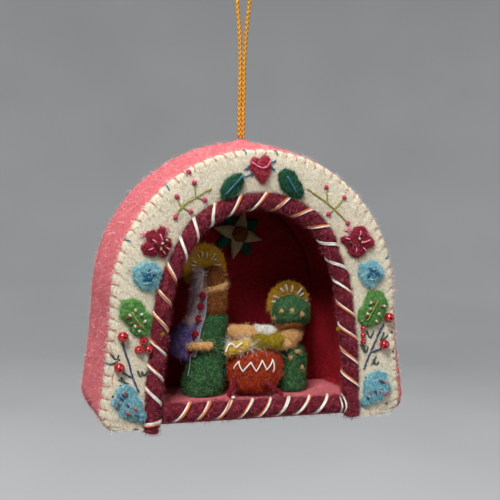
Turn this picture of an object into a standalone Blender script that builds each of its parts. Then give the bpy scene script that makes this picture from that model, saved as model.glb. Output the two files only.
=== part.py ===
"""Felt holy family ornament: a padded felt niche with three small felt figures, hung from a gold cord.

Units are metres and +Z is up. The front faces -Y and +X is the viewer's right.
Each piece is modelled in the ornament's own frame, whose origin is on the flat underside,
in the middle of its width, level with the front of the cream face.
The empties move that frame so that the world's origin is where the cord's loop is held.
"""

import math

import bmesh
import bpy
import numpy as np
from mathutils import Vector

MM = 0.001

# Clearance between sewn or stacked pieces, and the felt that most pieces are cut from
GAP = 0.3 * MM
FELT = 2.0 * MM

# Cream front face: its outline is an arch with flared sides and rounded lower corners
FACE_FOOT_HALF = 52.3 * MM
FACE_SPRING_HALF = 48.5 * MM
FACE_SPRING_HEIGHT = 39.0 * MM
FACE_HEIGHT = 88.7 * MM
FACE_CORNER = 5.5 * MM
FACE_THICKNESS = 2.2 * MM
FACE_EDGE = 0.5 * MM

# Rolled felt edging round the opening and along the sill, and the thread that is wound round it
ROLL_RADIUS = 2.5 * MM
ROLL_SETBACK = 0.8 * MM
ROLL_FOOT_HALF = 33.6 * MM
ROLL_SPRING_HALF = 31.3 * MM
ROLL_SPRING_HEIGHT = 40.0 * MM
ROLL_TOP = 72.4 * MM
ROLL_END_CLEARANCE = 0.2 * MM
SILL_HEIGHT = 4.7 * MM
THREAD_DIAMETER = 0.8 * MM
ARCH_TURNS = 21
SILL_TURNS = 8
POINTS_PER_TURN = 10

# Padded body behind the face: how far it swells past the face's outline, and how it rounds off at the back
BODY_DEPTH = 41.0 * MM
BODY_SWELL_TOP = 2.6 * MM
BODY_SWELL_SIDE = 0.5 * MM
BODY_SWELL_FOOT = 1.6 * MM
BODY_ROUNDING = 9.0 * MM
BODY_CORNER = 8.0 * MM
PANEL_EDGE = 0.3 * MM

# Niche inside the body
NICHE_MARGIN = 0.5 * MM
NICHE_BACK = 31.0 * MM
NICHE_ROUNDING = 5.0 * MM
NICHE_CORNER = 1.5 * MM
FLOOR_HEIGHT = 6.5 * MM
ROUNDING_STEPS = 5

# Gold cord: two strands rise from a peak in the felt and part near the top, where the loop is held
CORD_DIAMETER = 1.0 * MM
STRAND_SPACING = 1.5 * MM
LOOP_SPACING = 4.4 * MM
HANG_HEIGHT = 142.0 * MM
ANCHOR_DEPTH = 22.0 * MM
PEAK_RISE = 1.6 * MM
PEAK_SPREAD = 5.0 * MM
KNOT_RADIUS = 1.7 * MM
KNOT_OUTLINE = ((0.0, 0.3), (0.25, 0.88), (0.5, 1.0), (0.75, 0.88), (1.0, 0.3))

# A strand's route: share of its height, and how far it has parted
STRAND_ROUTE = ((0, 0), (0.25, 0), (0.45, 0.02), (0.62, 0.12), (0.8, 0.45), (1, 1))
LOOP_BEND = 0.62

# Felt cut-outs on the face; a margin is what shows of the face between the wound roll and the cut-out
CUTOUT = 1.6 * MM
HEART_WIDTH = 6.9 * MM
HEART_HEIGHT = 8.6 * MM
HEART_MARGIN = 2.1 * MM
HEART_POINTS = 22
TOP_LEAF_LENGTH = 10.2 * MM
TOP_LEAF_WIDTH = 5.4 * MM
TOP_LEAF_ANGLE = 15.2
TOP_LEAF_MARGIN = 0.4 * MM
TOP_LEAF_LEAN = 45.0
FLOWER_RADIUS = 4.8 * MM
FLOWER_ANGLE = 61.5
FLOWER_MARGIN = -0.4 * MM
BLOSSOM_RADIUS = 4.4 * MM
BLOSSOM_HEIGHT = 48.6 * MM
BLOSSOM_MARGIN = 0.0 * MM
SIDE_LEAF_LENGTH = 12.0 * MM
SIDE_LEAF_WIDTH = 9.2 * MM
SIDE_LEAF_HEIGHT = 36.2 * MM
SIDE_LEAF_MARGIN = 0.6 * MM
SIDE_LEAF_LEAN = 14.0
CORNER_BLOOM_RADIUS = 5.6 * MM
CORNER_BLOOM_HEIGHT = 8.6 * MM
CORNER_BLOOM_MARGIN = 0.0 * MM

# Glass beads on the face: two on the stem, as heights and margins, and a cluster of three on each side
BEAD_RADIUS = 1.7 * MM
BEAD_BORE = 0.5 * MM
SMALL_BEAD_BORE = 0.35 * MM
BEAD_STAND = 0.8
STEM_BEADS = {
    "left": ((30.0 * MM, 8.0 * MM), (20.3 * MM, 8.5 * MM)),
    "right": ((33.4 * MM, 8.9 * MM), (24.3 * MM, 6.8 * MM)),
}
CLUSTER_MARGIN = 0.1 * MM
LEFT_CLUSTER_RADIUS = 1.4 * MM
LEFT_CLUSTER_HEIGHT = 26.6 * MM
LEFT_CLUSTER_TURNS = (90, 210, 330)
RIGHT_CLUSTER_RADIUS = 1.0 * MM
RIGHT_CLUSTER_HEIGHTS = (30.0 * MM, 27.7 * MM, 25.4 * MM)

# Layers of a cut-out from its back to its front: share of its outline, and share of its thickness
SOFT_LAYERS = ((0.93, 0), (1, 0.35), (0.86, 0.8), (0.5, 1))
LEAF_LAYERS = ((1, 0), (1, 1))
PETAL_LAYERS = ((1, 0), (0.97, 1))
HALO_LAYERS = ((0.95, 0), (1, 0.4), (0.97, 1))

# Facets of the small round pieces
HALO_STEPS = 22
WRAP_STEPS = 6
CAPSULE_STEPS = 12

# Poinsettia on the niche's back wall
STAR_RADIUS = 9.0 * MM
STAR_X = 2.0 * MM
STAR_BELOW_TOP = 16.0 * MM
STAR_TURN = 14.0
STAR_FELT = 1.4 * MM
STAR_CENTRE_RADIUS = 2.9 * MM
STAR_LEAF_RADIUS = 9.2 * MM

# Joseph: robe, beard, face and hair stand on one another, and lean towards the crib
JOSEPH_X = -13.4 * MM
JOSEPH_Y = 16.6 * MM
JOSEPH_LEAN = 2.6 * MM
JOSEPH_ROBE_RADIUS = 7.5 * MM
JOSEPH_SHOULDER_RADIUS = 4.8 * MM
JOSEPH_ROBE_HEIGHT = 27.0 * MM
JOSEPH_BEARD_HEIGHT = 7.6 * MM
JOSEPH_FACE_HEIGHT = 1.8 * MM
JOSEPH_HAIR_HEIGHT = 6.0 * MM
JOSEPH_HEAD_RADIUS = 4.6 * MM
JOSEPH_HALO_RADIUS = 7.9 * MM
JOSEPH_HALO_SHIFT = -1.6 * MM
JOSEPH_HALO_DROP = 0.8 * MM
HALO_FELT = 1.5 * MM

# The robe's outline: share of its height, how far it has narrowed, and the easing of its ends
ROBE_OUTLINE = (
    (0, 0, 0.88),
    (0.05, 0, 0.98),
    (0.2, 0, 1),
    (0.5, 0.5, 1),
    (0.8, 0.95, 1),
    (1, 1, 0.96),
)
BEARD_OUTLINE = ((0, 0.9), (0.2, 1), (0.8, 1), (1, 0.94))
FACE_OUTLINE = ((0, 0.88), (1, 0.88))
HAIR_OUTLINE = ((0, 0.95), (0.25, 1), (0.6, 0.84), (0.85, 0.52), (1, 0.16))

# Joseph's dress: edges are degrees from the front, left being negative, from the top of each piece down
VEIL_FELT = 1.3 * MM
VEIL_SPAN = 66.0
VEIL_EDGE = (-52, -60, -68, -70, -72)
VEIL_FLARE = 2.6 * MM
VEIL_FLARE_SHARES = (0, 0, 0.3, 0.75, 1)
VEIL_UP_HAIR = 0.8
TRIM_FELT = 0.9 * MM
TRIM_SPAN = 20.0
TRIM_EDGE = (-56, -61, -68, -71, -75)
TRIM_LIFT = 0.2 * MM
TRIM_ROBE_SHARES = (0.62, 0.40)
CLOAK_FELT = 1.3 * MM
CLOAK_EDGE = (-76, -78, -82)
CLOAK_SPAN = (76, 76, 62)
CLOAK_FLARE = (0.6 * MM, 2.8 * MM, 4.4 * MM)
CLOAK_ROBE_SHARES = (0.86, 0.70, 0.45)
ARM_RADIUS = 1.15 * MM
ARM_ROBE_SHARE = 0.62
ARM_TURNS = (-62, -42, -16, 10)
ARM_OVER_TRIM = (1, 1, 0.1, 0)

# Mary, who bows over the crib
MARY_X = 17.2 * MM
MARY_Y = 16.0 * MM
MARY_BOW_X = -1.2 * MM
MARY_BOW_Y = -1.6 * MM
MARY_ROBE_RADIUS = 5.7 * MM
MARY_ROBE_HEIGHT = 15.4 * MM
MARY_FACE_RADIUS = 3.5 * MM
MARY_FACE_HEIGHT = 5.6 * MM
MARY_HAIR_RADIUS = 4.7 * MM
MARY_HAIR_HEIGHT = 1.7 * MM
MARY_HOOD_RADIUS = 6.7 * MM
MARY_HOOD_HEIGHT = 10.6 * MM
MARY_HALO_RADIUS = 8.0 * MM
MARY_HALO_SHIFT = 2.2 * MM
MARY_HALO_RISE = 6.1 * MM
MARY_ROBE_OUTLINE = ((0, 0.86), (0.08, 1), (0.5, 0.98), (0.85, 0.9), (1, 0.72))
MARY_FACE_OUTLINE = ((0, 0.7), (0.3, 1), (0.7, 1), (1, 0.8))
MARY_HAIR_OUTLINE = ((0, 0.9), (0.5, 1), (1, 0.94))
MARY_HOOD_OUTLINE = ((0, 0.78), (0.18, 0.97), (0.4, 1), (0.65, 0.88), (0.86, 0.58), (1, 0.15))

# Crib: a felted barrel on thin legs, with the child lying on it; a leg's ends are shares of the half length
CRIB_X = 2.4 * MM
CRIB_Y = 10.2 * MM
CRIB_HALF_LENGTH = 9.8 * MM
CRIB_HALF_DEPTH = 5.6 * MM
CRIB_HEIGHT = 14.6 * MM
CRIB_LIFT = 1.2 * MM
CRIB_OUTLINE = ((0, 0.62), (0.1, 0.82), (0.35, 0.98), (0.6, 1), (0.85, 0.92), (0.96, 0.78), (1, 0.66))
LEG_RADIUS = 0.7 * MM
LEG_TOP_SHARE = 0.24
LEG_SPREADS = {"crib_leg_left": (-0.75, -1.02), "crib_leg_right": (0.42, 0.86)}
FLEECE_THICKNESS = 2.0 * MM
FLEECE_OUTLINE = ((0, 0.70), (0.3, 0.86), (0.7, 0.86), (1, 0.72))
CHILD_RADIUS = 2.5 * MM
CHILD_LENGTH = 9.4 * MM
CHILD_SHIFT = 0.2 * MM
SWADDLE_RADIUS = 2.35 * MM
SWADDLE_LENGTH = 7.0 * MM
BLANKET_THICKNESS = 2.2 * MM
BLANKET_LENGTH = 9.6 * MM
BLANKET_HEIGHT = 4.6 * MM
BLANKET_OVERLAP = 1.4 * MM
CHILD_HALO_LENGTH = 8.2 * MM
CHILD_HALO_HEIGHT = 3.4 * MM
CHILD_HALO_SHIFT = -1.2 * MM


class Arch:
    """An arch in the XZ plane: flat foot, rounded corners, sides that flare to the foot, elliptic crown."""

    CROWN_STEPS = 24
    SIDE_STEPS = 4
    CORNER_STEPS = 3
    FLARE_POWER = 1.3
    LEAST_CORNER = 0.4 * MM

    def __init__(self, foot_half, spring_half, spring, top, foot, corner):
        self.foot_half = foot_half
        self.spring_half = spring_half
        self.spring = spring
        self.top = top
        self.foot = foot
        self.corner = corner

    def grown(self, by, foot_rise=None):
        """The same arch, larger by one distance, its foot too unless a rise is given for that."""
        corner = max(self.corner + by, self.LEAST_CORNER)
        foot = self.foot + (-by if foot_rise is None else foot_rise)
        return Arch(
            self.foot_half + by, self.spring_half + by, self.spring, self.top + by, foot, corner
        )

    def half_at(self, z):
        """Half the width at a height."""
        if z < self.spring:
            share = 1 - (z - self.foot) / (self.spring - self.foot)
            return self.spring_half + (self.foot_half - self.spring_half) * share**self.FLARE_POWER
        share = min(1.0, (z - self.spring) / (self.top - self.spring))
        return self.spring_half * math.sqrt(1 - share * share)

    def crown(self, angle):
        """The point and outward direction on the crown, for an angle in degrees from the top."""
        a = math.radians(angle)
        rise = self.top - self.spring
        point = Vector((self.spring_half * math.sin(a), 0, self.spring + rise * math.cos(a)))
        out = Vector((rise * math.sin(a), 0, self.spring_half * math.cos(a))).normalized()
        return point, out

    def points(self):
        """(x, z) from the foot's left end, up, over the crown and down to the foot's right end."""
        left = []
        corner_top = self.foot + self.corner
        side_x = self.half_at(corner_top)
        for k in range(self.CORNER_STEPS):
            a = math.pi / 2 * k / self.CORNER_STEPS
            x = side_x - self.corner + self.corner * math.sin(a)
            z = self.foot + self.corner - self.corner * math.cos(a)
            left.append((-x, z))
        for k in range(self.SIDE_STEPS):
            z = corner_top + (self.spring - corner_top) * k / self.SIDE_STEPS
            left.append((-self.half_at(z), z))
        half_crown = self.CROWN_STEPS // 2
        for k in range(half_crown):
            point, _ = self.crown(90 - 90 * k / half_crown)
            left.append((-point.x, point.z))
        return left + [(0.0, self.top)] + [(-x, z) for x, z in reversed(left)]


FACE = Arch(FACE_FOOT_HALF, FACE_SPRING_HALF, FACE_SPRING_HEIGHT, FACE_HEIGHT, 0.0, FACE_CORNER)
ROLL_LINE = Arch(ROLL_FOOT_HALF, ROLL_SPRING_HALF, ROLL_SPRING_HEIGHT, ROLL_TOP, 0.0, GAP)

# A thread's facets cut inside its circle, so its line keeps that much more off the roll
THREAD_SAG = (ROLL_RADIUS + GAP + THREAD_DIAMETER) * (1 - math.cos(math.pi / POINTS_PER_TURN))
THREAD_LINE = ROLL_RADIUS + GAP + THREAD_DIAMETER / 2 + THREAD_SAG
WOUND_RADIUS = THREAD_LINE + THREAD_DIAMETER / 2
OPENING = ROLL_LINE.grown(WOUND_RADIUS + GAP)
NICHE = ROLL_LINE.grown(WOUND_RADIUS + GAP + NICHE_MARGIN)
BODY_FRONT = FACE_THICKNESS + GAP
SILL_BACK = ROLL_SETBACK + WOUND_RADIUS + GAP
PEAK_HEIGHT = FACE_HEIGHT + BODY_SWELL_TOP + PEAK_RISE

# Colours as linear values, with roughness
PINK = ((0.80, 0.20, 0.22), 0.95)
PINK_INSIDE = ((0.62, 0.13, 0.16), 0.95)
CREAM = ((0.74, 0.67, 0.50), 0.95)
WADDING = ((0.80, 0.78, 0.74), 1.0)
MAROON = ((0.20, 0.020, 0.035), 0.95)
THREAD = ((0.85, 0.70, 0.55), 0.6)
HEART_RED = ((0.42, 0.04, 0.07), 0.95)
LEAF_DARK = ((0.015, 0.085, 0.050), 0.95)
LEAF_BRIGHT = ((0.07, 0.33, 0.09), 0.95)
FLOWER_RED = ((0.28, 0.02, 0.045), 0.95)
SKY = ((0.20, 0.52, 0.60), 0.95)
GLASS_RED = ((0.40, 0.0, 0.005), 0.1)
PETAL = ((0.62, 0.52, 0.34), 0.95)
BROWN = ((0.16, 0.07, 0.02), 0.95)
ROBE = ((0.035, 0.13, 0.06), 0.95)
SKIN = ((0.70, 0.42, 0.18), 0.95)
HALO = ((0.66, 0.40, 0.02), 0.95)
VEIL = ((0.72, 0.56, 0.58), 0.95)
TRIM = ((0.70, 0.74, 0.70), 0.95)
PURPLE = ((0.12, 0.08, 0.20), 0.95)
CRIB_RED = ((0.50, 0.09, 0.02), 0.95)
LEG_RED = ((0.22, 0.01, 0.015), 0.9)
FLEECE = ((0.80, 0.78, 0.70), 1.0)
OLIVE = ((0.34, 0.27, 0.01), 0.95)
YELLOW = ((0.80, 0.55, 0.06), 0.95)
GOLD = ((0.83, 0.52, 0.10), 0.35)


def clear_scene():
    for old in list(bpy.data.objects):
        bpy.data.objects.remove(old, do_unlink=True)


def make_empty(name, place, parent=None):
    """An empty at a world place."""
    empty = bpy.data.objects.new(name, None)
    bpy.context.collection.objects.link(empty)
    empty.empty_display_size = 5 * MM
    empty.location = place
    if parent is not None:
        empty.parent = parent
        empty.location = Vector(place) - parent.matrix_world.translation
    bpy.context.view_layer.update()
    return empty


def dress(obj, frame, colour, metallic=0.0):
    """Give a piece its own material and hang it on the ornament's frame."""
    material = bpy.data.materials.new(obj.name)
    material.use_nodes = True
    shader = material.node_tree.nodes["Principled BSDF"]
    shader.inputs["Base Color"].default_value = (*colour[0], 1.0)
    shader.inputs["Roughness"].default_value = colour[1]
    shader.inputs["Metallic"].default_value = metallic
    obj.data.materials.append(material)
    obj.parent = frame
    return obj


def object_from(name, bm, smooth=True):
    """Close a bmesh into a named object with outward faces."""
    bmesh.ops.recalc_face_normals(bm, faces=bm.faces)
    mesh = bpy.data.meshes.new(name)
    bm.to_mesh(mesh)
    bm.free()
    if smooth:
        mesh.shade_smooth()
        mesh.set_sharp_from_angle(angle=math.radians(50))
    obj = bpy.data.objects.new(name, mesh)
    bpy.context.collection.objects.link(obj)
    return obj


def solid_from_rings(name, rings, cap_start=True, cap_end=True, closed_run=False):
    """A solid through closed rings of equal length, capped at its ends or joined end to end."""
    bm = bmesh.new()
    rows = [[bm.verts.new(p) for p in ring] for ring in rings]
    count = len(rows[0])
    pairs = list(zip(rows[:-1], rows[1:]))
    if closed_run:
        pairs.append((rows[-1], rows[0]))
    for a, b in pairs:
        for i in range(count):
            j = (i + 1) % count
            bm.faces.new((a[i], a[j], b[j], b[i]))
    if cap_start and not closed_run:
        bm.faces.new(list(reversed(rows[0])))
    if cap_end and not closed_run:
        bm.faces.new(rows[-1])
    return object_from(name, bm)


def sheet_from_grids(name, outer, inner):
    """A sheet of felt between two grids of points, closed round its four edges."""
    bm = bmesh.new()
    top = [[bm.verts.new(p) for p in row] for row in outer]
    low = [[bm.verts.new(p) for p in row] for row in inner]
    last_row = len(top) - 1
    last_col = len(top[0]) - 1
    for r in range(last_row):
        for c in range(last_col):
            bm.faces.new((top[r][c], top[r][c + 1], top[r + 1][c + 1], top[r + 1][c]))
            bm.faces.new((low[r][c], low[r + 1][c], low[r + 1][c + 1], low[r][c + 1]))
    for r in range(last_row):
        for c in (0, last_col):
            bm.faces.new((top[r][c], top[r + 1][c], low[r + 1][c], low[r][c]))
    for c in range(last_col):
        for r in (0, last_row):
            bm.faces.new((top[r][c], top[r][c + 1], low[r][c + 1], low[r][c]))
    return object_from(name, bm)


def turned(name, profile, centres, sides=16, squash=1.0):
    """A felted body turned from (radius, height) pairs round each ring's centre; squash is its depth."""
    rings = []
    for (radius, height), (cx, cy) in zip(profile, centres):
        ring = []
        for k in range(sides):
            a = 2 * math.pi * k / sides
            ring.append((cx + radius * math.cos(a), cy + radius * squash * math.sin(a), height))
        rings.append(ring)
    return solid_from_rings(name, rings)


def cut_out(name, outline, centre, thickness, back, lean=0.0, layers=SOFT_LAYERS):
    """A soft felt cut-out that lies on a wall facing -Y; outline is (x, z) about its own centre."""
    a = math.radians(lean)
    rings = []
    for scale, rise in layers:
        ring = []
        for x, z in outline:
            turned_x = x * math.cos(a) - z * math.sin(a)
            turned_z = x * math.sin(a) + z * math.cos(a)
            y = back - thickness * rise
            ring.append((centre[0] + turned_x * scale, y, centre[1] + turned_z * scale))
        rings.append(ring)
    return solid_from_rings(name, rings)


def tube_object(name, points, radius, resolution=1):
    """A round tube along points, with filled ends."""
    curve = bpy.data.curves.new(name, "CURVE")
    curve.dimensions = "3D"
    curve.bevel_depth = radius
    curve.bevel_resolution = resolution
    curve.use_fill_caps = True
    curve.render_resolution_u = 0
    spline = curve.splines.new("POLY")
    spline.points.add(len(points) - 1)
    for slot, p in zip(spline.points, points):
        slot.co = (p[0], p[1], p[2], 1.0)
    obj = bpy.data.objects.new(name, curve)
    bpy.context.collection.objects.link(obj)
    return obj


def smooth_route(points, step):
    """Points at an even step along a smooth curve through a route's own points."""
    p = [Vector(q) for q in points]
    p = [p[0] * 2 - p[1]] + p + [p[-1] * 2 - p[-2]]
    fine = []
    for i in range(1, len(p) - 2):
        for k in range(24):
            t = k / 24
            a = 2 * p[i]
            b = p[i + 1] - p[i - 1]
            c = 2 * p[i - 1] - 5 * p[i] + 4 * p[i + 1] - p[i + 2]
            d = -p[i - 1] + 3 * p[i] - 3 * p[i + 1] + p[i + 2]
            fine.append(0.5 * (a + b * t + c * t * t + d * t**3))
    fine.append(p[-2])
    at = [0.0]
    for a, b in zip(fine[:-1], fine[1:]):
        at.append(at[-1] + (b - a).length)
    count = max(3, round(at[-1] / step) + 1)
    wanted = np.linspace(0, at[-1], count)
    columns = [np.interp(wanted, at, [q[k] for q in fine]) for k in range(3)]
    return [Vector(q) for q in zip(*columns)]


def rounding(arch, back, radius, swell, stops, offset):
    """Arches and depths from the front edge back and round the rear, for a surface inside the first.

    The sides and the crown round off towards the back over the radius, and the foot stays level.
    """
    bend = back - radius
    rows = []
    for y in stops:
        rows.append((swell(arch, y).grown(-offset, offset), y))
    for k in range(1, ROUNDING_STEPS + 1):
        a = math.pi / 2 * k / ROUNDING_STEPS
        inset = radius - (radius - offset) * math.cos(a)
        y = bend + (radius - offset) * math.sin(a)
        rows.append((swell(arch, bend + radius * math.sin(a)).grown(-inset, offset), y))
    return rows


def body_swell(arch, y):
    """The padded body's outline at a depth: fuller than the face in the middle of its depth."""
    share = min(1.0, max(0.0, (y - BODY_FRONT) / (BODY_DEPTH - BODY_FRONT)))
    full = math.sin(math.pi * share) ** 0.8
    corner = arch.corner + (BODY_CORNER - arch.corner) * min(1.0, 3 * share)
    return Arch(
        arch.foot_half + BODY_SWELL_FOOT * full,
        arch.spring_half + BODY_SWELL_SIDE * full,
        arch.spring,
        arch.top + BODY_SWELL_TOP * full,
        arch.foot,
        corner,
    )


def no_swell(arch, _):
    return arch


def body_stops():
    """Depths of the body's rows, one of them at the cord's anchor."""
    bend = BODY_DEPTH - BODY_ROUNDING
    stops = [BODY_FRONT, BODY_FRONT + 3 * MM, SILL_BACK + 4 * MM]
    stops += [ANCHOR_DEPTH - PEAK_SPREAD, ANCHOR_DEPTH, ANCHOR_DEPTH + PEAK_SPREAD, bend]
    return sorted(set(stops))


def body_rows(offset):
    return rounding(FACE, BODY_DEPTH, BODY_ROUNDING, body_swell, body_stops(), offset)


def niche_arch():
    return Arch(
        NICHE.foot_half, NICHE.spring_half, NICHE.spring, NICHE.top, FLOOR_HEIGHT, NICHE_CORNER
    )


def niche_rows(offset):
    bend = NICHE_BACK - NICHE_ROUNDING
    stops = [BODY_FRONT, (BODY_FRONT + bend) / 2, bend]
    return rounding(niche_arch(), NICHE_BACK, NICHE_ROUNDING, no_swell, stops, offset)


def near_anchor(x, y):
    """One at the cord's anchor, falling to nothing round it."""
    away = (x * x + (y - ANCHOR_DEPTH) ** 2) / PEAK_SPREAD**2
    return math.exp(-2.2 * away)


def peak(x, y):
    """How far the cord draws the felt up at a place on the crown."""
    return PEAK_RISE * near_anchor(x, y)


def pocket(x, y):
    """The wadding makes way for the cord's knot."""
    return -(2 * KNOT_RADIUS + GAP) * near_anchor(x, y)


def ring_points(row, lift=None):
    arch, y = row
    ring = []
    for x, z in arch.points():
        rise = lift(x, y) if lift and z > arch.spring else 0.0
        ring.append(Vector((x, y, z + rise)))
    return ring


def vault_sheet(name, rows, rows_behind, lift=None):
    """The felt strip that goes up one side, over the crown and down the other."""
    outer = [ring_points(row, lift) for row in rows]
    inner = [ring_points(row, lift) for row in rows_behind]
    return sheet_from_grids(name, outer, inner)


def foot_sheet(name, rows, rows_behind, front):
    """The flat strip between a vault's two feet; its front edge is at a stated depth."""
    outer = []
    inner = []
    for near, far in zip(rows, rows_behind):
        for grid, (arch, y) in ((outer, near), (inner, far)):
            edge = arch.points()[0]
            x = -edge[0] - GAP
            grid.append([Vector((-x, max(y, front), edge[1])), Vector((x, max(y, front), edge[1]))])
    keep = [k for k, (_, y) in enumerate(rows) if y > front + GAP]
    first = min(keep) - 1
    return sheet_from_grids(name, outer[first:], inner[first:])


def end_panel(name, arch, y_near, y_far):
    """A flat panel cut to an arch, its near edge eased."""
    rings = []
    eased = math.copysign(PANEL_EDGE, y_far - y_near)
    for y, grow in ((y_near, -PANEL_EDGE), (y_near + eased, 0.0), (y_far, 0.0)):
        rings.append([Vector((x, y, z)) for x, z in arch.grown(grow).points()])
    return solid_from_rings(name, rings)


def make_body(frame):
    """Cover, underside and back outside; lining, back wall and floor inside; wadding between."""
    cover = body_rows(0.0)
    under_cover = body_rows(FELT)
    dress(vault_sheet("vault_cover", cover, under_cover, peak), frame, PINK)
    dress(foot_sheet("underside_panel", cover, under_cover, SILL_BACK), frame, PINK)
    back_arch = cover[-1][0].grown(-GAP, FELT + GAP)
    dress(end_panel("back_panel", back_arch, BODY_DEPTH, BODY_DEPTH - FELT), frame, PINK)

    lining = niche_rows(0.0)
    behind_lining = niche_rows(-FELT)
    dress(vault_sheet("niche_lining", lining, behind_lining), frame, PINK_INSIDE)
    dress(foot_sheet("niche_floor", lining, behind_lining, SILL_BACK), frame, PINK)
    wall_arch = lining[-1][0].grown(-GAP)
    dress(end_panel("niche_back_wall", wall_arch, NICHE_BACK, NICHE_BACK + FELT), frame, PINK_INSIDE)
    make_wadding(frame)


def make_wadding(frame):
    """Wadding fills the space between the cover and the lining, all round and behind."""
    outer = []
    for arch, y in body_rows(FELT + GAP):
        outer.append(ring_points((arch, max(y, SILL_BACK)), pocket))
    inner = []
    for arch, y in niche_rows(-FELT - GAP):
        inner.append(ring_points((arch, max(y, SILL_BACK))))
    rings = list(reversed(outer)) + inner
    dress(solid_from_rings("wadding", rings), frame, WADDING)


def side_and_crown(arch, y, foot):
    """An arch's points at a depth without its rounded corners, none of them below the foot."""
    line = arch.points()[Arch.CORNER_STEPS : -Arch.CORNER_STEPS]
    return [Vector((x, y, max(z, foot))) for x, z in line]


def make_face(frame):
    """The cream face, cut to the body's outline; the opening for the niche runs out through its foot."""
    opening = Arch(OPENING.foot_half, OPENING.spring_half, OPENING.spring, OPENING.top, -GAP, GAP)
    outer = [
        [Vector((x, FACE_THICKNESS, z)) for x, z in FACE.points()],
        [Vector((x, FACE_EDGE, z)) for x, z in FACE.points()],
        [Vector((x, 0, z)) for x, z in FACE.grown(-FACE_EDGE).points()],
    ]
    inner = [
        side_and_crown(opening.grown(FACE_EDGE), 0, FACE_EDGE),
        side_and_crown(opening, FACE_EDGE, 0.0),
        side_and_crown(opening, FACE_THICKNESS, 0.0),
    ]
    sections = []
    last = len(inner[0]) - 1
    for k in range(len(outer[0])):
        beside = min(max(k - Arch.CORNER_STEPS, 0), last)
        sections.append([line[k] for line in outer] + [line[beside] for line in inner])
    dress(solid_from_rings("face_panel", sections), frame, CREAM)


def roll_run(start_height):
    """Points, outward directions and lengths along the arch roll's centre line, foot to foot."""
    line = []
    out = []
    side_steps = 8
    for k in range(side_steps):
        z = start_height + (ROLL_LINE.spring - start_height) * k / side_steps
        line.append(Vector((-ROLL_LINE.half_at(z), ROLL_SETBACK, z)))
        out.append(Vector((-1, 0, 0)))
    crown_steps = 32
    for k in range(crown_steps + 1):
        point, away = ROLL_LINE.crown(-90 + 180 * k / crown_steps)
        line.append(Vector((point.x, ROLL_SETBACK, point.z)))
        out.append(away)
    for k in reversed(range(side_steps)):
        z = start_height + (ROLL_LINE.spring - start_height) * k / side_steps
        line.append(Vector((ROLL_LINE.half_at(z), ROLL_SETBACK, z)))
        out.append(Vector((1, 0, 0)))
    at = [0.0]
    for a, b in zip(line[:-1], line[1:]):
        at.append(at[-1] + (b - a).length)
    return line, out, at


def winding(line, out, at, turns, margin):
    """A thread wound along a line: over the front it crosses from the opening to the outer side."""
    start = margin
    length = at[-1] - 2 * margin
    count = turns * POINTS_PER_TURN + 1
    points = []
    for k in range(count):
        s = start + length * k / (count - 1)
        a = 2 * math.pi * turns * k / (count - 1)
        middle = Vector([np.interp(s, at, [p[i] for p in line]) for i in range(3)])
        away = Vector([np.interp(s, at, [p[i] for p in out]) for i in range(3)]).normalized()
        forward = Vector((0, -THREAD_LINE * math.sin(a), 0))
        points.append(middle - away * (THREAD_LINE * math.cos(a)) + forward)
    return points


def least_gap(points, radius, apart):
    """The least clear distance between parts of a tube that are at least that many points apart."""
    p = np.array([tuple(q) for q in points])
    far = np.linalg.norm(p[:, None] - p[None], axis=2)
    index = np.arange(len(p))
    near = np.abs(index[:, None] - index[None]) < apart
    far[near] = np.inf
    return float(far.min()) - 2 * radius


def make_rolls(frame):
    """The felt roll round the opening, the one along the sill, and the thread wound round each."""
    line, out, at = roll_run(ROLL_END_CLEARANCE)
    dress(tube_object("arch_roll", line, ROLL_RADIUS, 2), frame, MAROON)
    sill_half = ROLL_LINE.half_at(SILL_HEIGHT) - WOUND_RADIUS - GAP
    sill = [Vector((x, ROLL_SETBACK, SILL_HEIGHT)) for x in np.linspace(-sill_half, sill_half, 9)]
    dress(tube_object("sill_roll", sill, ROLL_RADIUS, 2), frame, MAROON)

    margin = SILL_HEIGHT + ROLL_RADIUS
    arch_thread = winding(line, out, at, ARCH_TURNS, margin)
    dress(tube_object("arch_winding", arch_thread, THREAD_DIAMETER / 2), frame, THREAD)
    up = [Vector((0, 0, 1))] * len(sill)
    sill_at = [p.x + sill_half for p in sill]
    sill_thread = winding(sill, up, sill_at, SILL_TURNS, ROLL_RADIUS)
    dress(tube_object("sill_winding", sill_thread, THREAD_DIAMETER / 2), frame, THREAD)
    half_turn = POINTS_PER_TURN // 2
    for name, points in (("arch_winding", arch_thread), ("sill_winding", sill_thread)):
        gap = least_gap(points, THREAD_DIAMETER / 2, half_turn)
        print(f"{name}: least gap to itself {gap * 1000:.2f} mm")


def heart_outline(width, height):
    line = []
    for k in range(HEART_POINTS):
        t = 2 * math.pi * k / HEART_POINTS
        x = 16 * math.sin(t) ** 3
        z = 13 * math.cos(t) - 5 * math.cos(2 * t) - 2 * math.cos(3 * t) - math.cos(4 * t)
        line.append((x / 32 * width, (z + 2.5) / 29 * height))
    return line


def leaf_outline(length, width, count=18, fullness=0.75):
    """A leaf along z, with a point at each end."""
    line = []
    for k in range(count):
        t = 2 * math.pi * k / count
        share = abs(math.sin(t)) ** fullness
        line.append((math.copysign(width / 2 * share, math.sin(t)), length / 2 * math.cos(t)))
    return line


def lobed_outline(radius, lobes, depth, turn=0.0, stretch=1.0, per_lobe=6):
    """A flower outline whose lobes stand out from a circle."""
    line = []
    count = lobes * per_lobe
    for k in range(count):
        t = 2 * math.pi * k / count
        r = radius * (1 - depth + depth * math.cos(lobes * t + math.radians(turn)))
        line.append((r * math.cos(t), r * math.sin(t) * stretch))
    return line


def on_crown(side, angle, clear):
    """A place on the cream band, that far from the wound roll at an angle from the top."""
    point, out = ROLL_LINE.crown(angle)
    place = point + out * (WOUND_RADIUS + clear)
    return (side * place.x, place.z)


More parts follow.
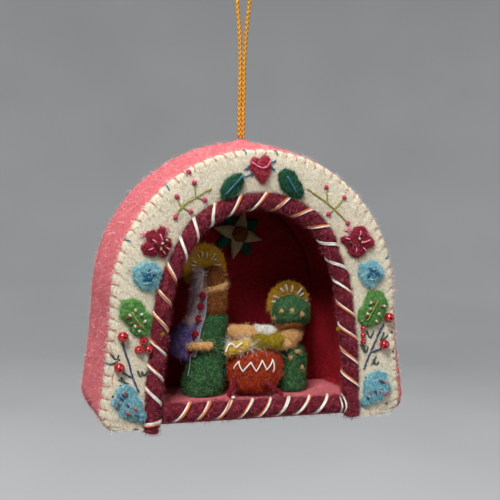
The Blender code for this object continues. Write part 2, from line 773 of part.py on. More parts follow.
def on_side(side, height, clear):
    """A place on the cream band at a height, that far from the wound roll."""
    return (side * (ROLL_LINE.half_at(height) + WOUND_RADIUS + clear), height)


def glass_bead(name, centre, radius, bore=BEAD_BORE):
    """A round bead standing on the face."""
    rings = []
    sides = 10
    profile = 6
    middle = (radius + bore) / 2
    thick = (radius - bore) / 2
    for k in range(sides):
        a = 2 * math.pi * k / sides
        ring = []
        for j in range(profile):
            b = 2 * math.pi * j / profile
            r = middle + thick * math.cos(b)
            y = -GAP - radius * BEAD_STAND * (1 - math.sin(b))
            ring.append((centre[0] + r * math.cos(a), y, centre[1] + r * math.sin(a)))
        rings.append(ring)
    return solid_from_rings(name, rings, closed_run=True)


def make_decorations(frame):
    """Felt cut-outs and glass beads that are sewn to the face."""
    heart_place = on_crown(1, 0, HEART_MARGIN + HEART_HEIGHT / 2)
    heart = heart_outline(HEART_WIDTH, HEART_HEIGHT)
    dress(cut_out("heart", heart, heart_place, CUTOUT, -GAP), frame, HEART_RED)
    for side, word in ((-1, "left"), (1, "right")):
        leaf = leaf_outline(TOP_LEAF_LENGTH, TOP_LEAF_WIDTH, 16)
        place = on_crown(side, TOP_LEAF_ANGLE, TOP_LEAF_MARGIN + TOP_LEAF_WIDTH / 2)
        lean = side * TOP_LEAF_LEAN
        dress(cut_out(f"{word}_top_leaf", leaf, place, CUTOUT, -GAP, lean), frame, LEAF_DARK)

        flower = lobed_outline(FLOWER_RADIUS, 5, 0.13, 0 if side > 0 else 180)
        place = on_crown(side, FLOWER_ANGLE, FLOWER_MARGIN + FLOWER_RADIUS)
        dress(cut_out(f"{word}_red_flower", flower, place, CUTOUT, -GAP), frame, FLOWER_RED)

        blossom = lobed_outline(BLOSSOM_RADIUS, 4, 0.08, 45)
        place = on_side(side, BLOSSOM_HEIGHT, BLOSSOM_MARGIN + BLOSSOM_RADIUS)
        dress(cut_out(f"{word}_blue_blossom", blossom, place, CUTOUT, -GAP), frame, SKY)

        leaf = lobed_outline(SIDE_LEAF_WIDTH / 2, 4, 0.03, 45, SIDE_LEAF_LENGTH / SIDE_LEAF_WIDTH, 5)
        place = on_side(side, SIDE_LEAF_HEIGHT, SIDE_LEAF_MARGIN + SIDE_LEAF_WIDTH / 2)
        lean = -side * SIDE_LEAF_LEAN
        dress(cut_out(f"{word}_green_leaf", leaf, place, CUTOUT, -GAP, lean), frame, LEAF_BRIGHT)

        bloom = lobed_outline(CORNER_BLOOM_RADIUS, 5, 0.08, 90)
        place = on_side(side, CORNER_BLOOM_HEIGHT, CORNER_BLOOM_MARGIN + CORNER_BLOOM_RADIUS)
        dress(cut_out(f"{word}_corner_bloom", bloom, place, CUTOUT, -GAP), frame, SKY)
        make_beads(frame, side, word)


def make_beads(frame, side, word):
    """Two beads on the stem, and three by the green leaf: a triangle, or a column on the right."""
    places = []
    for height, margin in STEM_BEADS[word]:
        places.append((on_side(side, height, margin + BEAD_RADIUS), BEAD_RADIUS, BEAD_BORE))
    if side < 0:
        radius = LEFT_CLUSTER_RADIUS
        middle = on_side(side, LEFT_CLUSTER_HEIGHT, CLUSTER_MARGIN + 2 * radius)
        reach = (radius + GAP / 2) / math.cos(math.radians(30))
        for turn in LEFT_CLUSTER_TURNS:
            a = math.radians(turn)
            place = (middle[0] + reach * math.cos(a), middle[1] + reach * math.sin(a))
            places.append((place, radius, SMALL_BEAD_BORE))
    else:
        for height in RIGHT_CLUSTER_HEIGHTS:
            place = on_side(side, height, CLUSTER_MARGIN + RIGHT_CLUSTER_RADIUS)
            places.append((place, RIGHT_CLUSTER_RADIUS, SMALL_BEAD_BORE))
    for number, (place, radius, bore) in enumerate(places, 1):
        dress(glass_bead(f"{word}_bead_{number}", place, radius, bore), frame, GLASS_RED)


def make_star(frame):
    """Poinsettia on the back wall: green leaves behind, four cream petals, and a brown centre."""
    place = (STAR_X, NICHE.top - STAR_BELOW_TOP)
    back = NICHE_BACK - GAP
    leaves = lobed_outline(STAR_LEAF_RADIUS, 4, 0.30, 4 * (45 - STAR_TURN))
    dress(cut_out("star_leaves", leaves, place, STAR_FELT, back, 0.0, LEAF_LAYERS), frame, LEAF_DARK)
    back -= STAR_FELT + GAP
    petals = lobed_outline(STAR_RADIUS, 4, 0.34, -4 * STAR_TURN, 1.0, 8)
    dress(cut_out("star_petals", petals, place, STAR_FELT, back, 0.0, PETAL_LAYERS), frame, PETAL)
    back -= STAR_FELT + GAP
    centre = lobed_outline(STAR_CENTRE_RADIUS, 1, 0.0, 0, 1.0, 12)
    dress(cut_out("star_centre", centre, place, STAR_FELT, back), frame, BROWN)


def halo(name, centre, radius, front):
    """A round felt halo whose flat front is at a depth."""
    outline = lobed_outline(radius, 1, 0.0, 0, 1.0, HALO_STEPS)
    return cut_out(name, outline, centre, HALO_FELT, front + HALO_FELT, 0.0, HALO_LAYERS)


def stacked(name, outline, size, low, high, middle, sides=16, squash=1.0):
    """A turned body between two heights; outline is (share of height, share of size)."""
    profile = [(size * radius, low + (high - low) * share) for share, radius in outline]
    centres = [middle(z) for _, z in profile]
    return turned(name, profile, centres, sides, squash)


def joseph_robe_radius(share):
    """The robe's radius at a share of its height."""
    stations = [station for station, _, _ in ROBE_OUTLINE]
    radii = []
    for _, narrowed, eased in ROBE_OUTLINE:
        radius = JOSEPH_ROBE_RADIUS + (JOSEPH_SHOULDER_RADIUS - JOSEPH_ROBE_RADIUS) * narrowed
        radii.append(radius * eased)
    return float(np.interp(share, stations, radii))


def make_joseph(frame):
    """The taller figure on the left."""
    low = FLOOR_HEIGHT + GAP
    shoulder = low + JOSEPH_ROBE_HEIGHT
    chin = shoulder + GAP + JOSEPH_BEARD_HEIGHT
    brow = chin + GAP + JOSEPH_FACE_HEIGHT
    crown = brow + GAP + JOSEPH_HAIR_HEIGHT

    def middle(z):
        share = min(1.0, (z - low) / JOSEPH_ROBE_HEIGHT)
        return (JOSEPH_X + JOSEPH_LEAN * share, JOSEPH_Y)

    robe = [(share, joseph_robe_radius(share)) for share, _, _ in ROBE_OUTLINE]
    dress(stacked("joseph_robe", robe, 1.0, low, shoulder, middle), frame, ROBE)
    head = JOSEPH_HEAD_RADIUS
    dress(stacked("joseph_beard", BEARD_OUTLINE, head, shoulder + GAP, chin, middle), frame, BROWN)
    dress(stacked("joseph_face", FACE_OUTLINE, head, chin + GAP, brow, middle), frame, SKIN)
    dress(stacked("joseph_hair", HAIR_OUTLINE, head, brow + GAP, crown, middle), frame, BROWN)

    top_x, _ = middle(crown)
    place = (top_x + JOSEPH_HALO_SHIFT, crown - JOSEPH_HALO_DROP)
    dress(halo("joseph_halo", place, JOSEPH_HALO_RADIUS, JOSEPH_Y + head + GAP), frame, HALO)
    make_joseph_veil(frame, middle, low, shoulder, chin)
    make_joseph_cloak(frame, middle, low)


def wrap_sheet(name, middle, heights, radii, turns, thickness):
    """A felt piece wrapped round a standing body: each height has a radius and a range of directions."""
    outer = []
    inner = []
    for z, radius, (start, end) in zip(heights, radii, turns):
        cx, cy = middle(z)
        rows = ([], [])
        for k in range(WRAP_STEPS + 1):
            a = math.radians(start + (end - start) * k / WRAP_STEPS)
            for row, r in zip(rows, (radius + thickness, radius)):
                row.append(Vector((cx + r * math.sin(a), cy - r * math.cos(a), z)))
        outer.append(rows[0])
        inner.append(rows[1])
    return sheet_from_grids(name, outer, inner)


def robe_height(low, share):
    return low + share * JOSEPH_ROBE_HEIGHT


def make_joseph_veil(frame, middle, low, shoulder, chin):
    """The veil hangs from the hair to the cloak; the trim runs down its front edge and on over the robe."""
    snug = JOSEPH_HEAD_RADIUS + GAP
    cloak_top = robe_height(low, CLOAK_ROBE_SHARES[0])
    top = chin + GAP + JOSEPH_FACE_HEIGHT + VEIL_UP_HAIR * JOSEPH_HAIR_HEIGHT
    heights = [top, chin, shoulder, (shoulder + cloak_top) / 2, cloak_top + GAP]
    radii = [snug + VEIL_FLARE * share for share in VEIL_FLARE_SHARES]
    turns = [(edge - VEIL_SPAN, edge) for edge in VEIL_EDGE]
    dress(wrap_sheet("joseph_veil", middle, heights, radii, turns, VEIL_FELT), frame, VEIL)

    heights = [chin, shoulder, cloak_top]
    radii = [snug + TRIM_LIFT, snug + TRIM_LIFT, joseph_robe_radius(CLOAK_ROBE_SHARES[0]) + GAP + TRIM_LIFT]
    for share in TRIM_ROBE_SHARES:
        heights.append(robe_height(low, share))
        radii.append(joseph_robe_radius(share) + GAP + TRIM_LIFT)
    turns = [(edge, edge + TRIM_SPAN) for edge in TRIM_EDGE]
    dress(wrap_sheet("joseph_trim", middle, heights, radii, turns, TRIM_FELT), frame, TRIM)


def make_joseph_cloak(frame, middle, low):
    """The short cloak stands out behind the shoulder, and the arm lies across the robe over the trim."""
    heights = []
    radii = []
    turns = []
    for share, flare, edge, span in zip(CLOAK_ROBE_SHARES, CLOAK_FLARE, CLOAK_EDGE, CLOAK_SPAN):
        heights.append(robe_height(low, share))
        radii.append(joseph_robe_radius(share) + GAP + TRIM_LIFT + flare)
        turns.append((edge - span, edge))
    dress(wrap_sheet("joseph_cloak", middle, heights, radii, turns, CLOAK_FELT), frame, PURPLE)

    arm_height = robe_height(low, ARM_ROBE_SHARE)
    cx, cy = middle(arm_height)
    on_robe = joseph_robe_radius(ARM_ROBE_SHARE) + GAP + ARM_RADIUS
    arm = []
    for turn, over in zip(ARM_TURNS, ARM_OVER_TRIM):
        a = math.radians(turn)
        reach = on_robe + over * (TRIM_LIFT + TRIM_FELT + GAP)
        arm.append(Vector((cx + reach * math.sin(a), cy - reach * math.cos(a), arm_height)))
    dress(tube_object("joseph_arm", arm, ARM_RADIUS, 2), frame, SKIN)


def make_mary(frame):
    """The kneeling figure on the right, whose face and hair bow over the crib."""
    low = FLOOR_HEIGHT + GAP
    neck = low + MARY_ROBE_HEIGHT
    brow = neck + GAP + MARY_FACE_HEIGHT
    brim = brow + GAP + MARY_HAIR_HEIGHT
    crown = brim + GAP + MARY_HOOD_HEIGHT

    def straight(_):
        return (MARY_X, MARY_Y)

    def bowed(_):
        return (MARY_X + MARY_BOW_X, MARY_Y + MARY_BOW_Y)

    robe = MARY_ROBE_RADIUS
    dress(stacked("mary_robe", MARY_ROBE_OUTLINE, robe, low, neck, straight), frame, ROBE)
    face = MARY_FACE_RADIUS
    dress(stacked("mary_face", MARY_FACE_OUTLINE, face, neck + GAP, brow, bowed), frame, SKIN)
    hair = MARY_HAIR_RADIUS
    dress(stacked("mary_hair", MARY_HAIR_OUTLINE, hair, brow + GAP, brim, bowed), frame, BROWN)
    hood = MARY_HOOD_RADIUS
    dress(stacked("mary_hood", MARY_HOOD_OUTLINE, hood, brim + GAP, crown, straight), frame, ROBE)
    place = (MARY_X + MARY_HALO_SHIFT, brim + MARY_HALO_RISE)
    dress(halo("mary_halo", place, MARY_HALO_RADIUS, MARY_Y + hood + GAP), frame, HALO)


def capsule(name, start, length, radius, blunt_start=False, blunt_end=False, squash=1.0):
    """A lying rounded body along +X, its depth squashed; a blunt end meets its neighbour face to face."""
    ends = []
    for blunt in (blunt_start, blunt_end):
        ends.append([(1.0, 0.0)] if blunt else [(0.3, 0.0), (0.72, 0.25), (0.95, 0.65)])
    profile = [(share, inset * radius) for share, inset in ends[0]]
    profile.append((1.0, length / 2))
    profile += [(share, length - inset * radius) for share, inset in reversed(ends[1])]
    rings = []
    for share, x in profile:
        ring = []
        for k in range(CAPSULE_STEPS):
            a = 2 * math.pi * k / CAPSULE_STEPS
            y = start[1] + radius * share * squash * math.cos(a)
            z = start[2] + radius * share * math.sin(a)
            ring.append((start[0] + x, y, z))
        rings.append(ring)
    return solid_from_rings(name, rings)


def make_crib(frame):
    """The barrel, its legs, and the child with halo, swaddling, blanket and fleece."""
    low = FLOOR_HEIGHT + GAP + CRIB_LIFT
    high = low + CRIB_HEIGHT
    size = CRIB_HALF_LENGTH

    def middle(_):
        return (CRIB_X, CRIB_Y)

    barrel = stacked("crib_barrel", CRIB_OUTLINE, size, low, high, middle, 18, CRIB_HALF_DEPTH / size)
    dress(barrel, frame, CRIB_RED)
    make_crib_legs(frame, low)

    # The fleece lies on the barrel and the child on the fleece
    bed = high + GAP
    bed_top = bed + FLEECE_THICKNESS
    fleece = stacked("crib_fleece", FLEECE_OUTLINE, size, bed, bed_top, middle, 14, CHILD_RADIUS / size)
    dress(fleece, frame, FLEECE)
    child_z = bed_top + GAP + CHILD_RADIUS
    child_x = CRIB_X + CHILD_SHIFT - CHILD_LENGTH
    child = capsule("child", (child_x, CRIB_Y, child_z), CHILD_LENGTH, CHILD_RADIUS, False, True)
    dress(child, frame, SKIN)
    wrap_x = child_x + CHILD_LENGTH + GAP
    wrap = capsule("swaddling", (wrap_x, CRIB_Y, child_z), SWADDLE_LENGTH, SWADDLE_RADIUS, True)
    dress(wrap, frame, FLEECE)

    # The blanket and the child's small halo stand on the barrel's rim, against the child's front
    y = CRIB_Y - CHILD_RADIUS - GAP - BLANKET_THICKNESS / 2
    for name, x, length, height, colour in (
        ("blanket", wrap_x - BLANKET_OVERLAP, BLANKET_LENGTH, BLANKET_HEIGHT, OLIVE),
        ("child_halo", child_x + CHILD_HALO_SHIFT, CHILD_HALO_LENGTH, CHILD_HALO_HEIGHT, YELLOW),
    ):
        place = (x, y, high + GAP + height / 2)
        piece = capsule(name, place, length, height / 2, squash=BLANKET_THICKNESS / height)
        dress(piece, frame, colour)


def make_crib_legs(frame, barrel_low):
    """Two thin legs lean out from under the front of the barrel to the floor behind the sill."""
    foot_y = SILL_BACK + LEG_RADIUS
    foot_z = FLOOR_HEIGHT + GAP + LEG_RADIUS
    top_y = CRIB_Y - CRIB_HALF_DEPTH - GAP
    top_z = barrel_low + LEG_TOP_SHARE * CRIB_HEIGHT
    for name, (top_share, foot_share) in LEG_SPREADS.items():
        top = (CRIB_X + top_share * CRIB_HALF_LENGTH, top_y, top_z)
        foot = (CRIB_X + foot_share * CRIB_HALF_LENGTH, foot_y, foot_z)
        leg = smooth_route([top, foot], 2 * MM)
        dress(tube_object(name, leg, LEG_RADIUS, 2), frame, LEG_RED)


def make_cord(frame, knot_frame):
    """The gold loop above the felt, and the knot below it that holds the cord in the wadding."""
    start = PEAK_HEIGHT + GAP
    near = STRAND_SPACING / 2
    wide = LOOP_SPACING / 2
    y = ANCHOR_DEPTH
    shoulder = HANG_HEIGHT - wide
    left = []
    for share, spread in STRAND_ROUTE:
        left.append((-near - (wide - near) * spread, y, start + (shoulder - start) * share))
    bend_x = LOOP_BEND * wide
    bend_z = HANG_HEIGHT - (1 - LOOP_BEND) * bend_x
    crown = [(-bend_x, y, bend_z), (0, y, HANG_HEIGHT), (bend_x, y, bend_z)]
    right = [(-x, depth, z) for x, depth, z in reversed(left)]
    route = smooth_route(left + crown + right, 2.4 * CORD_DIAMETER)
    dress(tube_object("hanging_cord", route, CORD_DIAMETER / 2, 2), frame, GOLD, 0.6)

    length = sum((b - a).length for a, b in zip(route[:-1], route[1:]))
    gap = least_gap(route, CORD_DIAMETER / 2, 8)
    print(f"hanging_cord: {length * 1000:.1f} mm long, least gap to itself {gap * 1000:.2f} mm")

    knot_top = PEAK_HEIGHT - FELT - GAP

    def middle(_):
        return (0.0, ANCHOR_DEPTH)

    knot = stacked("cord_knot", KNOT_OUTLINE, KNOT_RADIUS, knot_top - 2 * KNOT_RADIUS, knot_top, middle, 10)
    dress(knot, knot_frame, GOLD, 0.6)


def main():
    clear_scene()
    hang = Vector((0, ANCHOR_DEPTH, HANG_HEIGHT))
    pivot = Vector((0, ANCHOR_DEPTH, PEAK_HEIGHT))
    cord_frame = make_empty("cord_frame", -hang)
    swing = make_empty("swing_pivot", pivot - hang)
    knot_frame = make_empty("knot_frame", -hang, swing)
    twist = make_empty("twist_pivot", pivot - hang, swing)
    ornament = make_empty("ornament_frame", -hang, twist)
    make_body(ornament)
    make_face(ornament)
    make_rolls(ornament)
    make_decorations(ornament)
    make_star(ornament)
    make_joseph(ornament)
    make_mary(ornament)
    make_crib(ornament)
    make_cord(cord_frame, knot_frame)


main()
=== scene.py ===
"""Looks of the felt holy family ornament.

Shapes are in millimetres in the ornament's own frame: the origin is on the flat underside, in the
middle of its width, level with the front of the cream face. The front faces -Y.
"""

import math
from typing import NamedTuple

import bmesh
import bpy
import numpy as np
from mathutils import Matrix, Vector, noise


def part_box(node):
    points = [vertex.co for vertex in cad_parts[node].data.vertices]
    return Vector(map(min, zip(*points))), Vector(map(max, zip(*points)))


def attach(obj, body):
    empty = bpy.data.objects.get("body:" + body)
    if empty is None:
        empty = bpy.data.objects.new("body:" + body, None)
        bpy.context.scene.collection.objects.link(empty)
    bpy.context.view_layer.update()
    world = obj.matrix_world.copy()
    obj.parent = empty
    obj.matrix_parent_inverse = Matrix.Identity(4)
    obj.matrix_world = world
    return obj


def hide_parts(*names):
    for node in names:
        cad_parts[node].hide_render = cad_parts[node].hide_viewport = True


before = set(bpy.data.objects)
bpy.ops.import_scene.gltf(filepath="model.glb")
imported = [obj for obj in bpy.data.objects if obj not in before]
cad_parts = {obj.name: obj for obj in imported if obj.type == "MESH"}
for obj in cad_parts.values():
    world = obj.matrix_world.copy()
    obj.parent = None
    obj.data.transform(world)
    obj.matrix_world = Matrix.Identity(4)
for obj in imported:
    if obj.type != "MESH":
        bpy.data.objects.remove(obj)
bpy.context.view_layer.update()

MM = 0.001
ORIGIN = np.array([0.0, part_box("face_panel")[0].y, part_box("underside_panel")[0].z])

# The same sizes as the part's source, in millimetres
GAP = 0.3
FELT = 2.0
ROLL_RADIUS = 2.5
ROLL_SETBACK = 0.8
SILL_HEIGHT = 4.7
WOUND_RADIUS = 3.776
ARCH_TURNS = 21
SILL_TURNS = 8
BODY_FRONT = 2.5
BODY_DEPTH = 41.0
BODY_ROUNDING = 9.0
BODY_SWELL = (1.6, 0.5, 2.6)
BODY_CORNER = 8.0
NICHE_BACK = 31.0
NICHE_ROUNDING = 5.0
FLOOR_HEIGHT = 6.5
SILL_BACK = 4.876
ANCHOR_DEPTH = 22.0
PEAK_RISE = 1.6
PEAK_SPREAD = 5.0
PEAK_HEIGHT = 92.9
HANG_HEIGHT = 142.0
CUTOUT = 1.6
FACE_THICKNESS = 2.2
FACE_PUFF = 0.9

# The random draws start from this number, so that each run gives the same ones
SEED = 7
RIBBON_STEPS = 5


# Curves and meshes

def lengths(line):
    """How far along a line each of its points lies."""
    return np.concatenate([[0], np.cumsum(np.linalg.norm(np.diff(line, axis=0), axis=1))])


def at_length(wanted, at, values):
    """Rows of values, looked up at lengths along a line."""
    return np.stack([np.interp(wanted, at, column) for column in np.transpose(values)], axis=-1)


def unit(rows):
    return rows / np.linalg.norm(rows, axis=-1)[..., None]


def circle(count):
    return 2 * math.pi * np.arange(count) / count


def direction(degrees):
    a = math.radians(degrees)
    return np.array([math.cos(a), math.sin(a)])


class Arch(NamedTuple):
    """An arch in the XZ plane: flat foot, rounded corners, flared sides, elliptic crown."""

    foot_half: float
    spring_half: float
    spring: float
    top: float
    foot: float
    corner: float

    def grown(self, by, foot_rise=None):
        foot = self.foot + (-by if foot_rise is None else foot_rise)
        halves = self.foot_half + by, self.spring_half + by
        return Arch(*halves, self.spring, self.top + by, foot, max(self.corner + by, 0.4))

    def half_at(self, z):
        if z < self.spring:
            share = 1 - (z - self.foot) / (self.spring - self.foot)
            return self.spring_half + (self.foot_half - self.spring_half) * share**1.3
        share = min(1.0, (z - self.spring) / (self.top - self.spring))
        return self.spring_half * math.sqrt(1 - share * share)

    def crown(self, angle):
        """The point and outward direction for an angle in degrees from the top."""
        a = math.radians(angle)
        rise = self.top - self.spring
        out = np.array([rise * math.sin(a), self.spring_half * math.cos(a)])
        point = np.array([self.spring_half * math.sin(a), self.spring + rise * math.cos(a)])
        return point, out / np.linalg.norm(out)

    def line(self, corner_steps=8, side_steps=26, crown_steps=96):
        """(x, z) from the left foot over the crown to the right foot; no corner steps, no corners."""
        left = []
        start = self.foot + self.corner if corner_steps else self.foot
        side_x = self.half_at(start)
        for k in range(corner_steps):
            a = math.pi / 2 * k / corner_steps
            x = side_x - self.corner + self.corner * math.sin(a)
            left.append((-x, self.foot + self.corner - self.corner * math.cos(a)))
        for k in range(side_steps):
            z = start + (self.spring - start) * k / side_steps
            left.append((-self.half_at(z), z))
        half = crown_steps // 2
        left += [tuple(self.crown(-90 + 90 * k / half)[0]) for k in range(half)]
        return np.array(left + [(0.0, self.top)] + [(-x, z) for x, z in reversed(left)])


FACE = Arch(52.3, 48.5, 39.0, 88.7, 0.0, 5.5)
ROLL_LINE = Arch(33.6, 31.3, 40.0, 72.4, 0.0, GAP)
NICHE = ROLL_LINE.grown(WOUND_RADIUS + GAP + 0.5)


def smooth_line(points, step, closed=False):
    """Points at an even step along a smooth curve through a route's own points."""
    p = np.asarray(points, float)
    before, after = (p[-1:], p[:2]) if closed else (2 * p[:1] - p[1:2], 2 * p[-1:] - p[-2:-1])
    p = np.vstack([before, p, after])
    t = np.linspace(0, 1, 12, endpoint=False)[:, None]
    fine = []
    for a, b, c, d in zip(p, p[1:], p[2:], p[3:]):
        bend, twist = 2 * a - 5 * b + 4 * c - d, -a + 3 * b - 3 * c + d
        fine.append(0.5 * (2 * b + (c - a) * t + bend * t**2 + twist * t**3))
    fine = np.vstack(fine + [p[-2:-1]])
    at = lengths(fine)
    wanted = np.linspace(0, at[-1], max(3, round(at[-1] / step) + 1))
    return at_length(wanted[:-1] if closed else wanted, at, fine)


def along(line, step):
    """Even points on an open (x, z) line, with their outward directions and lengths along it."""
    at = lengths(line)
    wanted = np.linspace(0, at[-1], max(2, round(at[-1] / step) + 1))
    p = at_length(wanted, at, line)
    t = unit(np.gradient(p, axis=0))
    return p, np.stack([-t[:, 1], t[:, 0]], axis=1), wanted


def lumps(points, size, seed=0):
    """Smooth noise from -1 to 1 at each point."""
    shift = Vector((seed * 3.7, seed * 1.3, seed * 5.1))
    return np.array([noise.noise(Vector(p) / size + shift) for p in points])


class Shape:
    """Points and faces that are gathered into one mesh, each face with a material number."""

    def __init__(self):
        self.points = []
        self.faces = []
        self.materials = []
        self.count = 0

    def add(self, points, faces, material=0):
        self.points.append(np.asarray(points, float))
        self.faces += [tuple(i + self.count for i in face) for face in faces]
        self.materials += [material] * len(faces)
        self.count += len(points)

    def loft(self, rings, material=0, closed_run=False):
        """A skin through closed rings of equal length, with a cap at each end of an open run."""
        n, rows = len(rings[0]), len(rings)
        points = list(np.vstack(rings))
        faces = []
        for r in range(rows if closed_run else rows - 1):
            a, b = r * n, (r + 1) % rows * n
            faces += [(a + i, a + (i + 1) % n, b + (i + 1) % n, b + i) for i in range(n)]
        for row in () if closed_run else (0, rows - 1):
            points.append(np.mean(rings[row], axis=0))
            middle = len(points) - 1
            for i in range(n):
                a, b = row * n + i, row * n + (i + 1) % n
                faces.append((a, b, middle) if row else (b, a, middle))
        self.add(points, faces, material)

    def tube(self, points, radius, sides=6, material=0, ends=(1.0, 1.0)):
        """A round tube along points; radius is one number or one for each, and ends are shares of it."""
        p = np.asarray(points, float)
        r = np.ones(len(p)) * radius
        r[[0, -1]] *= ends
        t = np.gradient(p, axis=0)
        t /= np.maximum(np.linalg.norm(t, axis=1), 1e-9)[:, None]
        across = np.array([0, 0, 1.0]) if abs(t[0][2]) < 0.8 else np.array([1.0, 0, 0])
        angle = circle(sides)[:, None]
        rings = []
        for k in range(len(p)):
            across = across - t[k] * np.dot(across, t[k])
            across /= np.linalg.norm(across)
            ring = np.cos(angle) * across + np.sin(angle) * np.cross(t[k], across)
            rings.append(p[k] + r[k] * ring)
        self.loft(rings, material)

    def sheet(self, outer, inner):
        """A closed sheet between two grids of points."""
        rows, cols = len(outer), len(outer[0])
        half = rows * cols
        faces = []
        for r in range(rows - 1):
            for a in range(r * cols, (r + 1) * cols - 1):
                faces.append((a, a + 1, a + cols + 1, a + cols))
                faces.append((half + a, half + a + cols, half + a + cols + 1, half + a + 1))
        rim = [(r * cols + c, cols, c > 0) for r in range(rows - 1) for c in (0, cols - 1)]
        rim += [(r * cols + c, 1, r == 0) for c in range(cols - 1) for r in (0, rows - 1)]
        for a, step, flip in rim:
            face = (a, a + step, half + a + step, half + a)
            faces.append(face[::-1] if flip else face)
        self.add(np.vstack([np.reshape(outer, (-1, 3)), np.reshape(inner, (-1, 3))]), faces)


# The slot of each look whose name isn't the slot's, and of each piece once it is made
LOOK_SLOTS = {
    "pink_felt": "shell_felt", "wadding_wool": "wadding", "maroon_felt": "roll_felt",
    "deep_blue_wool": "sky_felt", "brown_wool": "brown_felt", "leg_wool": "leg_yarn",
    "knot_felt": "heart_felt", "gold_braid": "gold_cord", "red_glass": "bead_glass",
    "clear_glass": "bead_glass",
}
PIECE_SLOTS = {}


def place_object(name, mesh, looks, slot, body="ornament", node=None):
    """Put a mesh in the scene: smooth, with its looks, on its body, in its slot and for its node."""
    for look in looks:
        mesh.materials.append(LOOKS[look])
    mesh.shade_smooth()
    obj = bpy.data.objects.new(name, mesh)
    bpy.context.collection.objects.link(obj)
    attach(obj, body)
    if node:
        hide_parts(node)
    PIECE_SLOTS[name] = slot
    return obj


def read(rows, name, width=3, kind=float):
    """A value of each row of a mesh, as an array."""
    values = np.empty(len(rows) * width, kind)
    rows.foreach_get(name, values)
    return values.reshape(-1, width)


def piece(name, shape, looks, node=None, lump=(), slot=None, drift=None, body="ornament"):
    """Make the object of a shape, with lumps of each (height, size) along its normals."""
    looks = looks.split()
    points = np.vstack(shape.points)
    if drift is not None:
        points = drifted(points, drift(points))
    mesh = bpy.data.meshes.new(name)
    mesh.from_pydata((ORIGIN + points * MM).tolist(), [], shape.faces)
    mesh.update()
    mesh.validate()
    # Closed skins face outward, so that lumps and fibres stand off them
    shell = bmesh.new()
    shell.from_mesh(mesh)
    bmesh.ops.recalc_face_normals(shell, faces=shell.faces)
    shell.to_mesh(mesh)
    shell.free()
    for k, (amount, size) in enumerate(lump, 1):
        co, normal = read(mesh.vertices, "co"), read(mesh.vertex_normals, "vector")
        co = co + normal * (lumps((co - ORIGIN) / MM, size, k) * amount * MM)[:, None]
        mesh.vertices.foreach_set("co", co.ravel())
        mesh.update()
    if len(looks) > 1:
        mesh.polygons.foreach_set("material_index", shape.materials)
    if slot is None:
        thread = looks[0].endswith("_thread")
        slot = "winding_thread" if thread else LOOK_SLOTS.get(looks[0], looks[0])
    return place_object(name, mesh, looks, slot, body, node)


def wholly(_):
    return 1.0


def fuzz(name, sources, count, length, look, width, seed, stand, keep=None):
    """Loose fibres that stand off some pieces: thin curved ribbons at random places on their faces."""
    rng = np.random.default_rng(SEED * 1000 + seed)
    corners, normals, areas = [], [], []
    for source in sources.split():
        mesh = bpy.data.objects[source].data
        mesh.calc_loop_triangles()
        place = (read(mesh.vertices, "co") - ORIGIN) / MM
        corners.append(place[read(mesh.loop_triangles, "vertices", kind=int)])
        normals.append(read(mesh.loop_triangles, "normal"))
        areas.append(read(mesh.loop_triangles, "area", 1)[:, 0])
    corners, normals, areas = (np.concatenate(rows) for rows in (corners, normals, areas))
    if keep is not None:
        areas = areas * keep(corners.mean(axis=1), normals)
    pick = rng.choice(len(areas), count, p=areas / areas.sum())
    a, b = np.sqrt(rng.random(count)), rng.random(count)
    weights = np.stack([1 - a, a * (1 - b), a * b], axis=1)
    root = (corners[pick] * weights[:, :, None]).sum(axis=1)
    up = normals[pick]
    side = unit(np.cross(up, rng.normal(size=(count, 3))))
    turn = np.cross(up, side)
    size = rng.uniform(*length, count)[:, None]
    rise = rng.uniform(0.1, stand, count)[:, None]
    curl = rng.uniform(-1.4, 1.4, count)[:, None]
    flat = width / 2 * np.cross(side, up + rng.normal(scale=0.3, size=(count, 3)))
    rows = []
    for t in np.linspace(0, 1, RIBBON_STEPS):
        ahead = side * t + turn * curl * t * t * 0.6
        lift = up * (rise * math.sin(math.pi * 0.62 * t) * 1.1 - 0.04)
        middle = root + (ahead + lift) * size
        thin = flat * (1 - 0.6 * t)
        rows += [middle - thin, middle + thin]
    points = np.stack(rows, axis=1).reshape(-1, 3)
    base = np.arange(count)[:, None] * len(rows)
    faces = [base + np.array([q, q + 1, q + 3, q + 2]) for q in range(0, len(rows) - 2, 2)]
    faces = np.stack(faces, axis=1).reshape(-1, 4)
    mesh = bpy.data.meshes.new(name)
    mesh.vertices.add(len(points))
    mesh.vertices.foreach_set("co", (ORIGIN + points * MM).ravel())
    mesh.loops.add(faces.size)
    mesh.loops.foreach_set("vertex_index", faces.ravel())
    mesh.polygons.add(len(faces))
    mesh.polygons.foreach_set("loop_start", np.arange(len(faces)) * 4)
    mesh.update()
    mesh.validate()
    place_object(name, mesh, [look], PIECE_SLOTS[sources.split()[0]])


# Materials

def srgb(colour):
    """A colour as a screen shows it, 0 to 255, as the linear one that a shader takes."""
    shares = [c / 255 for c in colour]
    return (*(c / 12.92 if c <= 0.04045 else ((c + 0.055) / 1.055) ** 2.4 for c in shares), 1.0)


def shade(colour, by):
    return tuple(min(1.0, c * by) for c in colour[:3]) + (1.0,)


